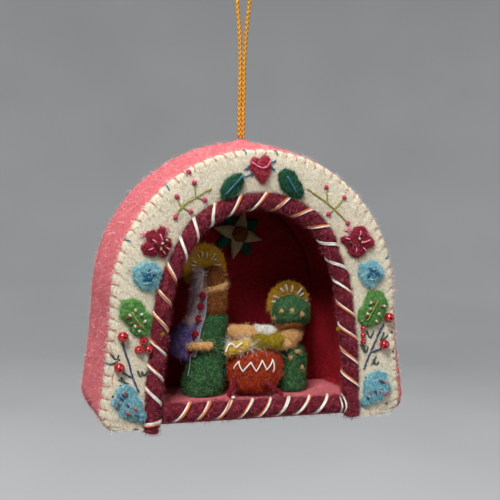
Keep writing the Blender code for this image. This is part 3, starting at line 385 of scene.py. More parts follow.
class Look:
    """A material made of nodes that read the object's own coordinates."""

    def __init__(self, name):
        self.material = bpy.data.materials.new(name)
        self.material.use_nodes = True
        self.tree = self.material.node_tree
        self.where = self.tree.nodes.new("ShaderNodeTexCoord").outputs["Object"]

    def fill(self, node, inputs):
        """Set a node's inputs, each to a value or to another node's output."""
        for key, value in inputs.items():
            if isinstance(value, bpy.types.NodeSocket):
                self.tree.links.new(value, node.inputs[key])
            else:
                node.inputs[key].default_value = value
        return node

    def node(self, kind, output, inputs, **settings):
        node = self.tree.nodes.new("ShaderNode" + kind)
        for key, value in settings.items():
            setattr(node, key, value)
        return self.fill(node, inputs).outputs[output]

    def noise(self, scale, detail=3.0, rough=0.55, distortion=0.0):
        """Noise whose scale is in features for each millimetre."""
        inputs = {"Vector": self.where, "Scale": scale / MM, "Detail": detail}
        return self.node("TexNoise", "Fac", {**inputs, "Roughness": rough, "Distortion": distortion})

    def ramp(self, value, *stops):
        """A ramp through stops, each a position with a colour or a grey level."""
        node = self.tree.nodes.new("ShaderNodeValToRGB")
        elements = node.color_ramp.elements
        while len(elements) < len(stops):
            elements.new(0.5)
        for element, (position, colour) in zip(elements, stops):
            element.position = position
            element.color = colour if isinstance(colour, tuple) else (colour, colour, colour, 1.0)
        return self.fill(node, {"Fac": value}).outputs["Color"]

    def mix(self, factor, a, b, blend="MIX"):
        return self.node("Mix", 2, {0: factor, 6: a, 7: b}, data_type="RGBA", blend_type=blend)

    def bump(self, height, strength, distance):
        inputs = {"Strength": strength, "Distance": distance * MM, "Height": height}
        return self.node("Bump", "Normal", inputs)

    def done(self, **inputs):
        """The material, with its shader's inputs set; their names are written with _ for each space."""
        named = {key.replace("_", " "): value for key, value in inputs.items()}
        self.fill(self.tree.nodes["Principled BSDF"], named)
        return self.material


def felt(name, colour, speck, specks, dark, bump=0.9, deep=0.5, tones=(0.5, 1.3)):
    """Wool felt: cloudy colour, pale and dark crossing fibres, a fine grain and a soft sheen."""
    look, colour = Look(name), srgb(colour)
    base = look.ramp(look.noise(0.22, 3.0, 0.6), (0.36, shade(colour, dark)), (0.66, colour))
    pale_lines = look.ramp(look.noise(0.8, 3.0, 0.55, 4.5), (0.43, 0.0), (0.50, specks), (0.57, 0.0))
    dark_lines = look.ramp(look.noise(1.15, 3.0, 0.6, 3.5), (0.44, 0.0), (0.51, 0.6), (0.58, 0.0))
    tone = look.ramp(look.noise(1.7, 4.0, 0.72, 0.8), (0.33, tones[0]), (0.5, 0.95), (0.66, tones[1]))
    lined = look.mix(pale_lines, look.mix(dark_lines, base, shade(colour, deep)), srgb(speck))
    return look.done(
        Base_Color=look.mix(1.0, lined, tone, "MULTIPLY"), Roughness=0.95, Specular_IOR_Level=0.15,
        Sheen_Weight=0.15, Sheen_Roughness=0.45, Sheen_Tint=shade(colour, 1.6),
        Normal=look.bump(look.mix(0.4, tone, pale_lines), bump, 0.6),
    )


def fibre(name, colour, speck):
    """Single loose fibres, a little lighter than their felt."""
    look = Look(name)
    cloud = look.ramp(look.noise(0.8, 2.0), (0.35, srgb(colour)), (0.65, srgb(speck)))
    return look.done(
        Base_Color=cloud, Roughness=0.8, Specular_IOR_Level=0.15, Sheen_Weight=0.1, Sheen_Roughness=0.4,
    )


def yarn(name, colour, dark=0.6):
    """Embroidery thread: fine twisted plies across its length, with a soft gloss."""
    look, colour = Look(name), srgb(colour)
    inputs = {"Vector": look.where, "Scale": 1.3 / MM, "Distortion": 2.0, "Detail": 2.0}
    twist = look.node("TexWave", "Fac", inputs, wave_type="BANDS", bands_direction="DIAGONAL")
    plies = look.ramp(twist, (0.2, shade(colour, dark)), (0.75, colour))
    return look.done(Base_Color=plies, Roughness=0.55, Sheen_Weight=0.25, Normal=look.bump(twist, 0.4, 0.1))


def glass(name, colour, transmission, rough):
    """Pressed glass: deep colour with small clouds in it, and a clear gloss."""
    look, colour = Look(name), srgb(colour)
    cloud = look.ramp(look.noise(0.7, 3.0), (0.3, shade(colour, 0.55)), (0.7, shade(colour, 1.2)))
    return look.done(
        Base_Color=cloud, Roughness=rough, Transmission_Weight=transmission, IOR=1.5, Coat_Weight=0.6,
        Coat_Roughness=0.03,
    )


def metallic(name, colour, dark):
    """Metallic braid: bright filaments with darker ones between them."""
    look = Look(name)
    grain = look.noise(3.0, 3.0, 0.6, 1.5)
    filaments = look.ramp(grain, (0.35, srgb(dark)), (0.65, srgb(colour)))
    return look.done(Base_Color=filaments, Metallic=0.35, Roughness=0.32, Normal=look.bump(grain, 0.35, 0.08))


# Colours are as a screen shows them, 0 to 255.
# Felts: colour, colour and strength of the pale fibres, share of the dark clouds; and where they
# differ from the others, strength of the relief, share of the dark fibres, tones of the grain
FELTS = {
    "pink_felt": ((232, 112, 120), (244, 162, 166), 0.35, 0.88, 0.9, 0.75, (0.72, 1.15)),
    # The niche is lined with the shell's pink felt; lining_felt is that felt painted a deep crimson, as
    # painted shade for the inside of the niche
    "lining_felt": ((168, 20, 36), (196, 56, 64), 0.4, 0.75),
    "cream_felt": ((242, 232, 206), (172, 152, 120), 0.5, 0.92, 0.5, 0.74, (0.68, 1.12)),
    "wadding_wool": ((230, 226, 216), (246, 244, 238), 0.5, 0.9),
    "maroon_felt": ((116, 20, 40), (172, 70, 86), 0.4, 0.62, 1.0),
    "heart_felt": ((168, 36, 58), (214, 96, 104), 0.5, 0.8),
    "dark_leaf_felt": ((22, 80, 58), (64, 132, 100), 0.4, 0.7),
    "bright_leaf_felt": ((80, 146, 66), (146, 196, 116), 0.45, 0.66),
    "flower_felt": ((140, 28, 48), (196, 80, 98), 0.45, 0.66),
    "sky_felt": ((108, 182, 198), (180, 224, 228), 0.5, 0.8),
    "deep_blue_wool": ((14, 98, 138), (40, 128, 162), 0.4, 0.7),
    "petal_felt": ((204, 176, 132), (230, 210, 172), 0.5, 0.78),
    "brown_wool": ((118, 62, 26), (166, 104, 54), 0.5, 0.7),
    "robe_felt": ((36, 82, 50), (84, 130, 76), 0.45, 0.66),
    "skin_felt": ((232, 170, 104), (246, 204, 148), 0.4, 0.86),
    "halo_felt": ((228, 158, 16), (244, 196, 70), 0.45, 0.78),
    "veil_felt": ((214, 186, 192), (240, 222, 224), 0.5, 0.86),
    "trim_felt": ((136, 134, 152), (196, 194, 206), 0.45, 0.7),
    "cloak_felt": ((122, 100, 176), (160, 142, 204), 0.5, 0.75),
    "crib_felt": ((178, 46, 18), (218, 98, 50), 0.5, 0.6),
    "leg_wool": ((126, 18, 28), (176, 70, 74), 0.4, 0.8),
    "knot_felt": ((156, 12, 26), (200, 54, 66), 0.45, 0.66),
    "fleece": ((236, 230, 214), (250, 248, 240), 0.5, 0.9),
    "blanket_felt": ((152, 128, 14), (186, 164, 50), 0.5, 0.72),
    "child_halo_felt": ((240, 192, 54), (250, 220, 116), 0.4, 0.86),
}
# Threads: colour, and share of the dark plies where it differs
YARNS = {
    "white_thread": ((244, 240, 230), 0.8),
    "orange_thread": ((228, 122, 44), 0.75),
    "pink_thread": ((222, 116, 104), 0.75),
    "navy_thread": ((38, 40, 92),),
    "blue_thread": ((30, 106, 148),),
    "green_thread": ((22, 54, 38),),
    "olive_thread": ((156, 148, 48), 0.7),
    "magenta_thread": ((196, 36, 92),),
    "pale_thread": ((168, 170, 174), 0.8),
    "rose_thread": ((238, 120, 150), 0.8),
    "sky_thread": ((176, 222, 232), 0.8),
    "red_thread": ((178, 30, 44),),
}
GLASSES = {"red_glass": ((188, 8, 22), 0.25, 0.1), "clear_glass": ((216, 208, 196), 0.25, 0.12)}
METALS = {
    "gold_braid": ((255, 214, 70), (214, 142, 26)),
    "orange_braid": ((206, 124, 22), (118, 62, 10)),
    "gold_bead": ((214, 186, 120), (150, 120, 62)),
    "dark_bead": ((96, 78, 60), (48, 38, 34)),
}
# Loose fibres: from one colour to the other
FIBRES = {
    "deep_blue_fibre": ((16, 98, 138), (48, 136, 168)),
    "pink_fibre": ((234, 138, 142), (246, 194, 194)),
    "cream_fibre": ((236, 230, 214), (252, 250, 240)),
    "maroon_fibre": ((122, 28, 46), (174, 70, 86)),
    # Painted highlight: pale pink fibres that stand in for glints where the rolls' fibres catch the light
    "maroon_light_fibre": ((150, 52, 70), (212, 128, 138)),
    "maroon_deep_fibre": ((72, 12, 24), (120, 30, 44)),
    "heather_fibre": ((142, 122, 92), (196, 178, 146)),
    "shell_deep_fibre": ((206, 84, 94), (238, 130, 134)),
    # Painted shade: the niche's loose fibres are the pink fibres darkened to crimson, like the lining
    "lining_fibre": ((172, 34, 48), (202, 78, 84)),
    "rose_fibre": ((136, 26, 48), (186, 70, 90)),
    "leaf_fibre": ((78, 142, 64), (150, 196, 118)),
    "green_fibre": ((50, 100, 60), (108, 152, 98)),
    "dark_leaf_fibre": ((22, 74, 52), (66, 122, 90)),
    "skin_fibre": ((226, 166, 102), (248, 212, 160)),
    "veil_fibre": ((206, 178, 190), (244, 232, 236)),
    "purple_fibre": ((116, 96, 170), (166, 150, 204)),
    "olive_fibre": ((148, 124, 14), (190, 164, 44)),
    "heart_fibre": ((160, 32, 56), (212, 92, 108)),
    "brown_fibre": ((136, 76, 34), (182, 118, 62)),
    "red_fibre": ((190, 60, 26), (224, 112, 66)),
    "white_fibre": ((240, 236, 224), (253, 252, 246)),
    "blue_fibre": ((112, 186, 202), (196, 230, 234)),
    "yellow_fibre": ((232, 178, 54), (246, 212, 110)),
}
LOOKS = {}
for make, table in ((felt, FELTS), (yarn, YARNS), (glass, GLASSES), (metallic, METALS), (fibre, FIBRES)):
    LOOKS.update({name: make(name, *row) for name, row in table.items()})


# How far each side of the hand-sewn opening stands outward, as (height, drift) in millimetres
LEFT_DRIFT = (
    (0, 1.8), (13, 2.1), (25, 1.8), (36, 1.3), (46, 0.2), (55, -1.3), (61, -0.7), (67, 1.2), (72, 0.8),
    (80, 0),
)
RIGHT_DRIFT = ((0, 0.4), (21, 0.7), (36, -0.4), (46, -1.6), (55, -2.6), (61, -1.4), (67, -0.3), (80, 0))


def drifted(points, share=1.0):
    """Points near the opening's front, moved with its sides."""
    p = np.array(points, float)
    left, right = (np.interp(p[:, 2], *np.transpose(drift)) for drift in (LEFT_DRIFT, RIGHT_DRIFT))
    beside = np.clip(np.abs(p[:, 0]) / 30, 0, 1) ** 1.5
    in_front = np.clip((24 - p[:, 1]) / 18, 0, 1)
    p[:, 0] += np.sign(p[:, 0]) * np.where(p[:, 0] < 0, left, right) * beside * in_front * share
    return p


# Camera, from the photograph: viewing angle, distance and a slight roll

AZIMUTH = -18.8
ELEVATION = 4.2
ROLL = 1.03
DISTANCE = 322.05
TARGET = (-3.515, 0.0, 56.525)
FOCAL_PIXELS = 1000.0
PHOTO_WIDTH = 500.0
SENSOR = 36.0


def make_camera():
    a, e, r = (math.radians(v) for v in (AZIMUTH, ELEVATION, ROLL))
    back = np.array([math.sin(a) * math.cos(e), -math.cos(a) * math.cos(e), math.sin(e)])
    right = np.array([math.cos(a), math.sin(a), 0.0])
    turned_right = math.cos(r) * right + math.sin(r) * np.cross(back, right)
    data = bpy.data.cameras.new("camera")
    data.sensor_width = SENSOR
    data.lens = FOCAL_PIXELS * SENSOR / PHOTO_WIDTH
    data.clip_start = 0.01
    camera = bpy.data.objects.new("camera", data)
    bpy.context.collection.objects.link(camera)
    place = ORIGIN + (np.array(TARGET) + back * DISTANCE) * MM
    matrix = np.eye(4)
    matrix[:3] = np.stack([turned_right, np.cross(back, turned_right), back, place], axis=1)
    camera.matrix_world = Matrix(matrix.tolist())
    bpy.context.scene.camera = camera


# Gold cord and its knot

STRAND_SPACING = 1.3
LOOP_SPACING = 4.4
STRAND_ROUTE = ((0, 0), (0.25, 0), (0.45, 0.02), (0.62, 0.12), (0.8, 0.45), (1, 1))
LOOP_BEND = 0.62
BRAID_PITCH = 3.4
BRAID_STRANDS = 4


def cord_route():
    start = PEAK_HEIGHT + GAP
    near, wide = STRAND_SPACING / 2, LOOP_SPACING / 2
    rise = HANG_HEIGHT - wide - start
    left = []
    for share, spread in STRAND_ROUTE:
        left.append((-near - (wide - near) * spread, ANCHOR_DEPTH, start + rise * share))
    bend_x = LOOP_BEND * wide
    left.append((-bend_x, ANCHOR_DEPTH, HANG_HEIGHT - (1 - LOOP_BEND) * bend_x))
    right = [(-x, y, z) for x, y, z in reversed(left)]
    return smooth_line(left + [(0, ANCHOR_DEPTH, HANG_HEIGHT)] + right, 0.45)


def make_cord():
    line = cord_route()
    at = lengths(line)
    depth = np.array([0.0, 1.0, 0.0])
    across = np.cross(unit(np.gradient(line, axis=0)), depth)
    shape = Shape()
    shape.tube(line, 0.42, 8, 1)
    for way in (1, -1):
        for k in range(BRAID_STRANDS):
            angle = way * 2 * math.pi * at / BRAID_PITCH + 2 * math.pi * k / BRAID_STRANDS
            weave = 0.46 + 0.06 * np.cos(angle * 2 * way + (0 if way > 0 else math.pi))
            strand = weave[:, None] * (np.cos(angle)[:, None] * across + np.sin(angle)[:, None] * depth)
            shape.tube(line + strand, 0.21, 6, 0 if (k + (way > 0)) % 2 else 1)
    cord = piece("gold_cord", shape, "gold_braid orange_braid", "hanging_cord", body="cord")

    knot = Shape()
    middle = np.array([0.0, ANCHOR_DEPTH, PEAK_HEIGHT - FELT - GAP - 1.7])
    turns = np.linspace(0, 1, 90)
    for start, tilt in ((0.0, 0.35), (2.1, -0.45), (4.2, 0.1)):
        a = start + turns * 2 * math.pi * 1.5
        rise = 1.1 * (turns - 0.5) + tilt * np.cos(a * 2)
        knot.tube(middle + np.stack([1.15 * np.cos(a), 1.15 * np.sin(a), rise], axis=1), 0.42, 6)
    piece("cord_stop_knot", knot, "gold_braid", "cord_knot", body="knot")


# Padded body

BODY_STOPS = [2.3] + list(np.linspace(2.9, BODY_DEPTH - BODY_ROUNDING, 30))
NICHE_ARCH = NICHE._replace(foot=FLOOR_HEIGHT, corner=1.5)
NICHE_STOPS = [BODY_FRONT, 3.0] + list(np.linspace(3.8, NICHE_BACK - NICHE_ROUNDING, 13))
# How far the front edge stands proud of the face at the lower right, and how much more at its foot
LIP = (1.3, 0.9)
SEAM_PITCH = 3.4


def body_swell(arch, y):
    share = min(1.0, max(0.0, (y - BODY_FRONT) / (BODY_DEPTH - BODY_FRONT)))
    full = math.sin(math.pi * share) ** 0.8
    corner = arch.corner + (BODY_CORNER - arch.corner) * min(1.0, 3 * share)
    foot, spring, top = (swell * full for swell in BODY_SWELL)
    return Arch(
        arch.foot_half + foot, arch.spring_half + spring, arch.spring, arch.top + top, arch.foot, corner,
    )


def rounding(arch, back, radius, swell, stops, offset, steps):
    """Arches and depths from the front edge back and round the rear; the foot stays level."""
    bend = back - radius
    rows = [(swell(arch, y).grown(-offset, offset), y) for y in stops]
    for k in range(1, steps + 1):
        a = math.pi / 2 * k / steps
        inset = radius - (radius - offset) * math.cos(a)
        y = bend + (radius - offset) * math.sin(a)
        rows.append((swell(arch, bend + radius * math.sin(a)).grown(-inset, offset), y))
    return rows


def body_rows(stops, offset, steps=9):
    return rounding(FACE, BODY_DEPTH, BODY_ROUNDING, body_swell, stops, offset, steps)


def niche_rows(stops, offset):
    return rounding(NICHE_ARCH, NICHE_BACK, NICHE_ROUNDING, lambda arch, _: arch, stops, offset, 5)


def grid(rows, steps, peak=0.0):
    """The points of each arch at its depth, drawn up round the cord."""
    points = []
    for arch, y in rows:
        points.append([])
        for x, z in arch.line(*steps):
            near = math.exp(-2.2 * (x * x + (y - ANCHOR_DEPTH) ** 2) / PEAK_SPREAD**2)
            points[-1].append((x, y, z + (peak * near if z > arch.spring else 0.0)))
    return points


def level(rows, start, count, height):
    """Points across the foot of each arch, from a depth on."""
    points = []
    for arch, y in rows:
        if y >= start:
            half = -arch.line()[0][0] - GAP
            points.append([(x * half, y, height) for x in np.linspace(-1, 1, count)])
    return points


def sheet_piece(name, outer, inner, look, node, lump, slot=None, drift=None):
    shape = Shape()
    shape.sheet(outer, inner)
    piece(name, shape, look, node, lump, slot, drift)


def panel_piece(name, rings, look, node, lump):
    shape = Shape()
    shape.loft(rings)
    piece(name, shape, look, node, lump)


def make_body():
    cover, under = body_rows(BODY_STOPS, 0.0), body_rows(BODY_STOPS, FELT)
    outer, inner = (np.array(grid(rows, (8, 28, 110), PEAK_RISE)) for rows in (cover, under))
    # On the lower right the front edge stands proud of the face
    beside = np.clip((outer[:, :, 0] - 30) / 15, 0, 1) * np.clip((50 - outer[:, :, 2]) / 15, 0, 1)
    lip = LIP[0] + LIP[1] * np.clip((26 - outer[:, :, 2]) / 14, 0, 1)
    outer[:, :, 0] += lip * beside * np.clip((16 - outer[:, :, 1]) / 11, 0, 1)
    # The felt is drawn in where the front edge is sewn
    edge_line, _, edge_at = along(FACE.line(), 0.5)
    sewn_rows = 4
    for r in range(sewn_rows):
        for point in outer[r]:
            x, y, z = point
            near = np.argmin((edge_line[:, 0] - x) ** 2 + (edge_line[:, 1] - z) ** 2)
            wave = abs(math.sin(math.pi * edge_at[near] / STITCH_PITCH))
            toward = np.array([0.0, y, 40.0]) - point
            point += toward / np.linalg.norm(toward) * (0.5 * (1 - wave) ** 1.5 * (1 - r / sewn_rows))
    sheet_piece("shell_strip", outer, inner, "pink_felt", "vault_cover", ((0.32, 11), (0.14, 3.5)))
    outer, inner = level(cover, SILL_BACK - 0.4, 50, 0.02), level(under, SILL_BACK - 0.4, 50, FELT)
    sheet_piece("underside_felt", outer, inner, "pink_felt", "underside_panel", ((0.05, 6),))

    outline = cover[-1][0].grown(-GAP, GAP).line(8, 20, 80)
    rings = []
    for share, y in ((1, BODY_DEPTH - FELT), (1, BODY_DEPTH - 0.5), (0.985, BODY_DEPTH + 0.1)):
        rings.append([(x * share, y, 38 + (z - 38) * share) for x, z in outline])
    for k in range(1, 15):
        share = 0.985 * (1 - k / 15)
        puff = BODY_DEPTH + 0.1 + 1.0 * math.sin(math.pi / 2 * (1 - share)) ** 0.8
        rings.append([(x * share, puff, 38 + (z - 38) * share) for x, z in outline])
    panel_piece("back_felt", rings, "pink_felt", "back_panel", ((0.35, 12), (0.12, 3.5)))

    lining, behind = niche_rows(NICHE_STOPS, 0.0), niche_rows(NICHE_STOPS, -FELT)
    outer, inner = (grid(rows, (4, 22, 72)) for rows in (behind, lining))
    lump = ((0.25, 9), (0.1, 3))
    # The walls take the crimson look: painted shade on the same pink felt as the floor
    sheet_piece("niche_felt", outer, inner, "lining_felt", "niche_lining", lump, None, wholly)
    # The floor reaches under the roll
    low = [(arch, y) for (arch, _), (_, y) in zip(lining, behind)]
    outer, inner = level(lining, 2.9, 44, FLOOR_HEIGHT), level(low, 2.9, 44, FLOOR_HEIGHT - FELT)
    lump = ((0.1, 5),)
    sheet_piece("niche_floor_felt", outer, inner, "pink_felt", "niche_floor", lump, "lining_felt", wholly)
    outline = lining[-1][0].grown(-GAP).line(4, 12, 60)
    rings = [[(x, NICHE_BACK + FELT, z) for x, z in outline], [(x, NICHE_BACK, z) for x, z in outline]]
    for share in 1 - np.arange(1, 12) / 12:
        rings.append([(x * share, NICHE_BACK - 0.02, 38 + (z - 38) * share) for x, z in outline])
    # The back wall takes the crimson look too: painted shade on the same pink felt
    panel_piece("niche_wall_felt", rings, "lining_felt", "niche_back_wall", ((0.1, 8),))
    make_wadding()
    make_shell_seams()


def off_cord(places, _):
    """Keeps the loose fibres from where the cord leans."""
    return np.where(np.hypot(places[:, 0], places[:, 1] - ANCHOR_DEPTH) < 3.2, 0.0, 1.0)


def make_wadding():
    """Wool between the shell and the lining, all round and behind."""
    clear, steps = FELT + 0.7, (4, 12, 44)
    outer = grid(body_rows(np.linspace(SILL_BACK, BODY_DEPTH - BODY_ROUNDING, 10), clear, 5), steps, -3.7)
    inner = grid(niche_rows(np.linspace(SILL_BACK, NICHE_BACK - NICHE_ROUNDING, 8), -clear), steps)
    shape = Shape()
    shape.loft(outer[::-1] + [drifted(row) for row in inner])
    piece("wool_filling", shape, "wadding_wool", "wadding", ((0.2, 6),))


def make_shell_seams():
    """Whip stitches where the back and the underside are sewn to the strip."""
    shape = Shape()
    rim = body_rows([], 0.0)[-1][0]
    for p, n, _ in zip(*along(rim.line(), SEAM_PITCH)):
        tangent = np.array([n[1], -n[0]])
        a = p + n * 0.9 - tangent * 0.35
        b = p - n * 1.3 + tangent * 0.35
        middle = (a + b) / 2
        route = ((a, -0.9), (a, 0.05), (middle, 0.5), (b, 0.3), (b, -0.4))
        shape.tube(smooth_line([(x, BODY_DEPTH + back, z) for (x, z), back in route], 0.3), 0.2, 6)
    for side in (-1, 1):
        for y in np.arange(SILL_BACK + 2, BODY_DEPTH - 3, SEAM_PITCH):
            x = side * (-body_swell(FACE, y).line()[0][0])
            route = ((1.0, -0.4, 0.7), (0.6, -0.3, -0.05), (-0.9, 0.3, -0.1), (-1.3, 0.4, 0.6))
            shape.tube(smooth_line([(x + side * out, y + back, z) for out, back, z in route], 0.3), 0.18, 6)
    piece("seam_stitches", shape, "pink_thread")


# Cream face

STITCH_PITCH = 3.55
FACE_EDGE_LINE, FACE_EDGE_OUT, FACE_EDGE_AT = along(FACE.line(), 0.45)
# The felt is sewn up against the roll, inside the clearance that the CAD keeps for the thread
HEM = ROLL_LINE.grown(2.3, 0.0)
OPENING_LINE, _, _ = along(HEM.line(), 0.6)
HEM_REACH = 7
# Shares of the way from the face's edge to its opening
FACE_ROWS = (0.012, 0.04, 0.09, 0.16, 0.25, 0.35, 0.45, 0.55, 0.65, 0.75, 0.84, 0.91, 0.96, 0.985)
BLUE_EDGE_PLACES = (
    (-6.9, 87.6), (4.5, 88.2), (-30.2, 77.2), (-44.4, 58.4), (-51.0, 21.8), (44.6, 54.8), (35.2, 0.4),
)


def distance_to(line, places):
    """How far each place is from a line's nearest point."""
    return np.min(np.linalg.norm(places[:, None] - line[None], axis=2), axis=1)


def on_face(places, height=0.0):
    """Points on the puffed face, or a height in front of it, at (x, z) places."""
    places = np.atleast_2d(np.asarray(places, float))
    to_edge, to_hole = distance_to(FACE_EDGE_LINE, places), distance_to(OPENING_LINE, places)
    share = to_edge / np.maximum(to_edge + to_hole, 1e-6)
    rise = FACE_PUFF * np.clip(4 * share * (1 - share), 0, 1) ** 0.6
    cloud = lumps([(x, 0.0, z) for x, z in places], 5.5, 4)
    y = -(rise + 0.16 * cloud * np.clip(to_edge, 0, 1.5) / 1.5) - height
    return np.stack([places[:, 0], y, places[:, 1]], axis=1)


def near_hem(points):
    """How much the face goes with the opening: all of it at the hem, nothing beyond the hem's reach."""
    return np.clip(1 - distance_to(OPENING_LINE, points[:, ::2]) / HEM_REACH, 0, 1)


def at_depth(places, y):
    return np.stack([places[:, 0], y * np.ones(len(places)), places[:, 1]], axis=1)


def make_face():
    at = FACE_EDGE_AT
    hole = HEM.line(0, 40, 120)
    hole_at = lengths(hole)
    # The panel's foot corners come before the sides, so they all meet the opening's foot
    corner = 2 * FACE.corner / at[-1]
    beside = np.clip((at / at[-1] - corner) / (1 - 2 * corner), 0, 1) * hole_at[-1]
    inner = at_length(beside, hole_at, hole)
    sewn = 1 - np.abs(np.sin(math.pi * at / STITCH_PITCH))
    edge = FACE_EDGE_LINE - FACE_EDGE_OUT * (0.42 * sewn**1.6)[:, None]
    rounded = edge + FACE_EDGE_OUT * 0.12
    columns = [at_depth(edge, FACE_THICKNESS), at_depth(rounded, 1.5), at_depth(rounded, 0.7)]
    for share in FACE_ROWS:
        points = on_face(edge + (inner - edge) * share)
        points[:, 1] += max(0.0, 1 - share / 0.04) * 0.35 + max(0.0, (share - 0.955) / 0.045) * 0.5
        points[:, 1] += 0.45 * np.exp(-((share * 12.0) / 2.2) ** 2) * sewn**2
        columns.append(points)
    columns += [at_depth(edge + (inner - edge), y) for y in (0.6, 1.4, FACE_THICKNESS)]
    shape = Shape()
    shape.loft(np.stack(columns, axis=1))
    piece("face_felt", shape, "cream_felt", "face_panel", ((0.05, 1.6),), drift=near_hem)


def make_edge_stitches():
    """Blanket stitches over the face's edge, most of them pink and a few blue."""
    rng = np.random.default_rng(SEED)
    pink, blue = Shape(), Shape()
    places = []
    for k in range(1, int(FACE_EDGE_AT[-1] / STITCH_PITCH)):
        places.append([at_length(k * STITCH_PITCH, FACE_EDGE_AT, v) for v in (FACE_EDGE_LINE, FACE_EDGE_OUT)])
    # The straight foot of each side, from the corner to the opening
    for side in (-1, 1):
        for x in np.arange(40.5, 47.5, STITCH_PITCH):
            places.append((np.array([side * x, 0.0]), np.array([0.0, -1.0])))
    for p, n in places:
        n = n / np.linalg.norm(n)
        slant = rng.uniform(-0.45, 0.45)
        inner = p - n * rng.uniform(1.0, 1.8) + np.array([n[1], -n[0]]) * slant
        (x, z), (x_over, z_over) = p + n * 0.05, p + n * 0.12
        route = [(x, FACE_THICKNESS + 0.5, z), (x_over, 1.0, z_over), on_face(p - n * 0.25)[0] + (0, 0.12, 0)]
        for place, height in (((p + inner) / 2, 0.12), (inner, 0.05), (inner - n * 0.15, -0.5)):
            route.append(on_face(place, height)[0])
        is_blue = any(math.dist(p, q) < 1.9 for q in BLUE_EDGE_PLACES)
        (blue if is_blue else pink).tube(smooth_line(route, 0.25), 0.22 if is_blue else 0.14, 6)
    piece("edge_stitches", pink, "pink_thread")
    piece("edge_stitches_blue", blue, "blue_thread")


# Rolled edging and the threads wound round it

PLY_RADIUS = 0.29
# The arch roll's left end hangs this far below the face
FOOT_LENGTH = 1.6
WOUND_LINE = 2.78
FRONT_SLANT = 0.8
ROLL_SIDES = 28
PINCH = 0.55


def thread_run(length, turns, margin):
    """Angles round a roll and lengths along it: the thread slants in front and is nearly straight behind."""
    angle = np.linspace(0, 2 * math.pi * turns, turns * 26 + 1)
    pitch = (length - 2 * margin) / turns
    slant = FRONT_SLANT * (1 + 0.2 * np.sin(angle * 0.31 + 1.0))
    return angle, margin + pitch / (2 * math.pi) * (angle + slant * (1 - np.cos(angle))), pitch


def roll_line(start):
    """Even points, outward directions and lengths along the arch roll's centre line."""
    left = [(-ROLL_LINE.half_at(z), z) for z in np.linspace(start, ROLL_LINE.spring, 30)[:-1]]
    crown = [tuple(ROLL_LINE.crown(angle)[0]) for angle in np.linspace(-90, 90, 121)]
    return along(left + crown + [(-x, z) for x, z in reversed(left)], 0.5)


def wound(run, s, angle, radius):
    """Points beside a roll: at lengths along it, at angles round it from the opening to the front."""
    line, out, at = run
    place = at_length(s, at, line) - unit(at_length(s, at, out)) * (radius * np.cos(angle))[:, None]
    return np.stack([place[:, 0], ROLL_SETBACK - radius * np.sin(angle), place[:, 1]], axis=1)


def make_roll(name, run, turns, margin, node, foot=0.0):
    """A soft roll, drawn in under each turn of the thread; foot lengthens its start."""
    angles, at = circle(ROLL_SIDES), run[2]
    run_angle, run_at, pitch = thread_run(at[-1], turns, margin)
    rings = []
    for s in at:
        away = np.abs((angles - np.interp(s, run_at, run_angle) + math.pi) % (2 * math.pi) - math.pi)
        is_wound = margin - 1 < s < at[-1] - margin + 1
        pinch = PINCH * np.exp(-((away * pitch / (2 * math.pi)) / 0.8) ** 2) * is_wound
        taper = 1 - 0.10 * max(0.0, 1 - min(s, at[-1] - s) / 0.8)
        rings.append(wound(run, np.full(ROLL_SIDES, s), angles, (ROLL_RADIUS + 0.16 - pinch) * taper))
    if foot:
        step = unit(rings[0].mean(axis=0) - rings[1].mean(axis=0))
        rings = [rings[0] + step * d for d in np.arange(foot, 0, -0.45)] + rings
    # The cut ends show the felt's spiral
    for row, beside in ((rings[0], rings[1]), (rings[-1], rings[-2])):
        centre = row.mean(axis=0)
        step = unit(centre - beside.mean(axis=0))
        spiral = []
        for share in 1 - np.arange(1, 9) / 9:
            dip = -0.16 * (1 - np.cos((share * 3.0) * 2 * math.pi + angles)) / 2
            spiral.append(centre + (row - centre) * share + step * dip[:, None])
        rings = rings + spiral if row is rings[-1] else spiral[::-1] + rings
    shape = Shape()
    shape.loft(rings)
    piece(name, shape, "maroon_felt", node, ((0.55, 5.0), (0.24, 1.6)), drift=wholly)


def make_winding(name, run, turns, margin, node, phase):
    """Two white plies and an orange one side by side; they roll about each other slowly."""
    length = run[2][-1]
    angle, s, _ = thread_run(length, turns, margin)
    twist = phase + 0.85 * angle / (2 * math.pi) + 0.6 * np.sin(angle * 0.37)
    shape = Shape()
    for number, turned_by in ((0, 0.0), (0, 2.1), (1, 4.2)):
        radius = WOUND_LINE + 0.62 * PLY_RADIUS * np.sin(twist + turned_by)
        shift = 1.35 * PLY_RADIUS * np.cos(twist + turned_by)
        points = wound(run, np.clip(s + shift, 0, length), angle, radius)
        shape.tube(points, PLY_RADIUS, 7, number, (0.5, 0.5))
    piece(name, shape, "white_thread orange_thread", node, drift=wholly)


def make_rolls():
    run = roll_line(0.2)
    margin = SILL_HEIGHT + ROLL_RADIUS
    make_roll("arch_roll_felt", run, ARCH_TURNS, margin, "arch_roll", FOOT_LENGTH)
    make_winding("arch_threads", run, ARCH_TURNS, margin, "arch_winding", 0.4)
    half = ROLL_LINE.half_at(SILL_HEIGHT) - WOUND_RADIUS - GAP
    xs = np.arange(-half, half + 0.01, 0.5)
    line = np.stack([xs, np.full(len(xs), SILL_HEIGHT)], axis=1)
    run = (line, np.tile([0.0, 1.0], (len(xs), 1)), xs + half)
    make_roll("sill_roll_felt", run, SILL_TURNS, ROLL_RADIUS, "sill_roll")
    make_winding("sill_threads", run, SILL_TURNS, ROLL_RADIUS, "sill_winding", 2.2)


# Cut-outs and embroidery on the face

SIDES = ((-1, "left"), (1, "right"))


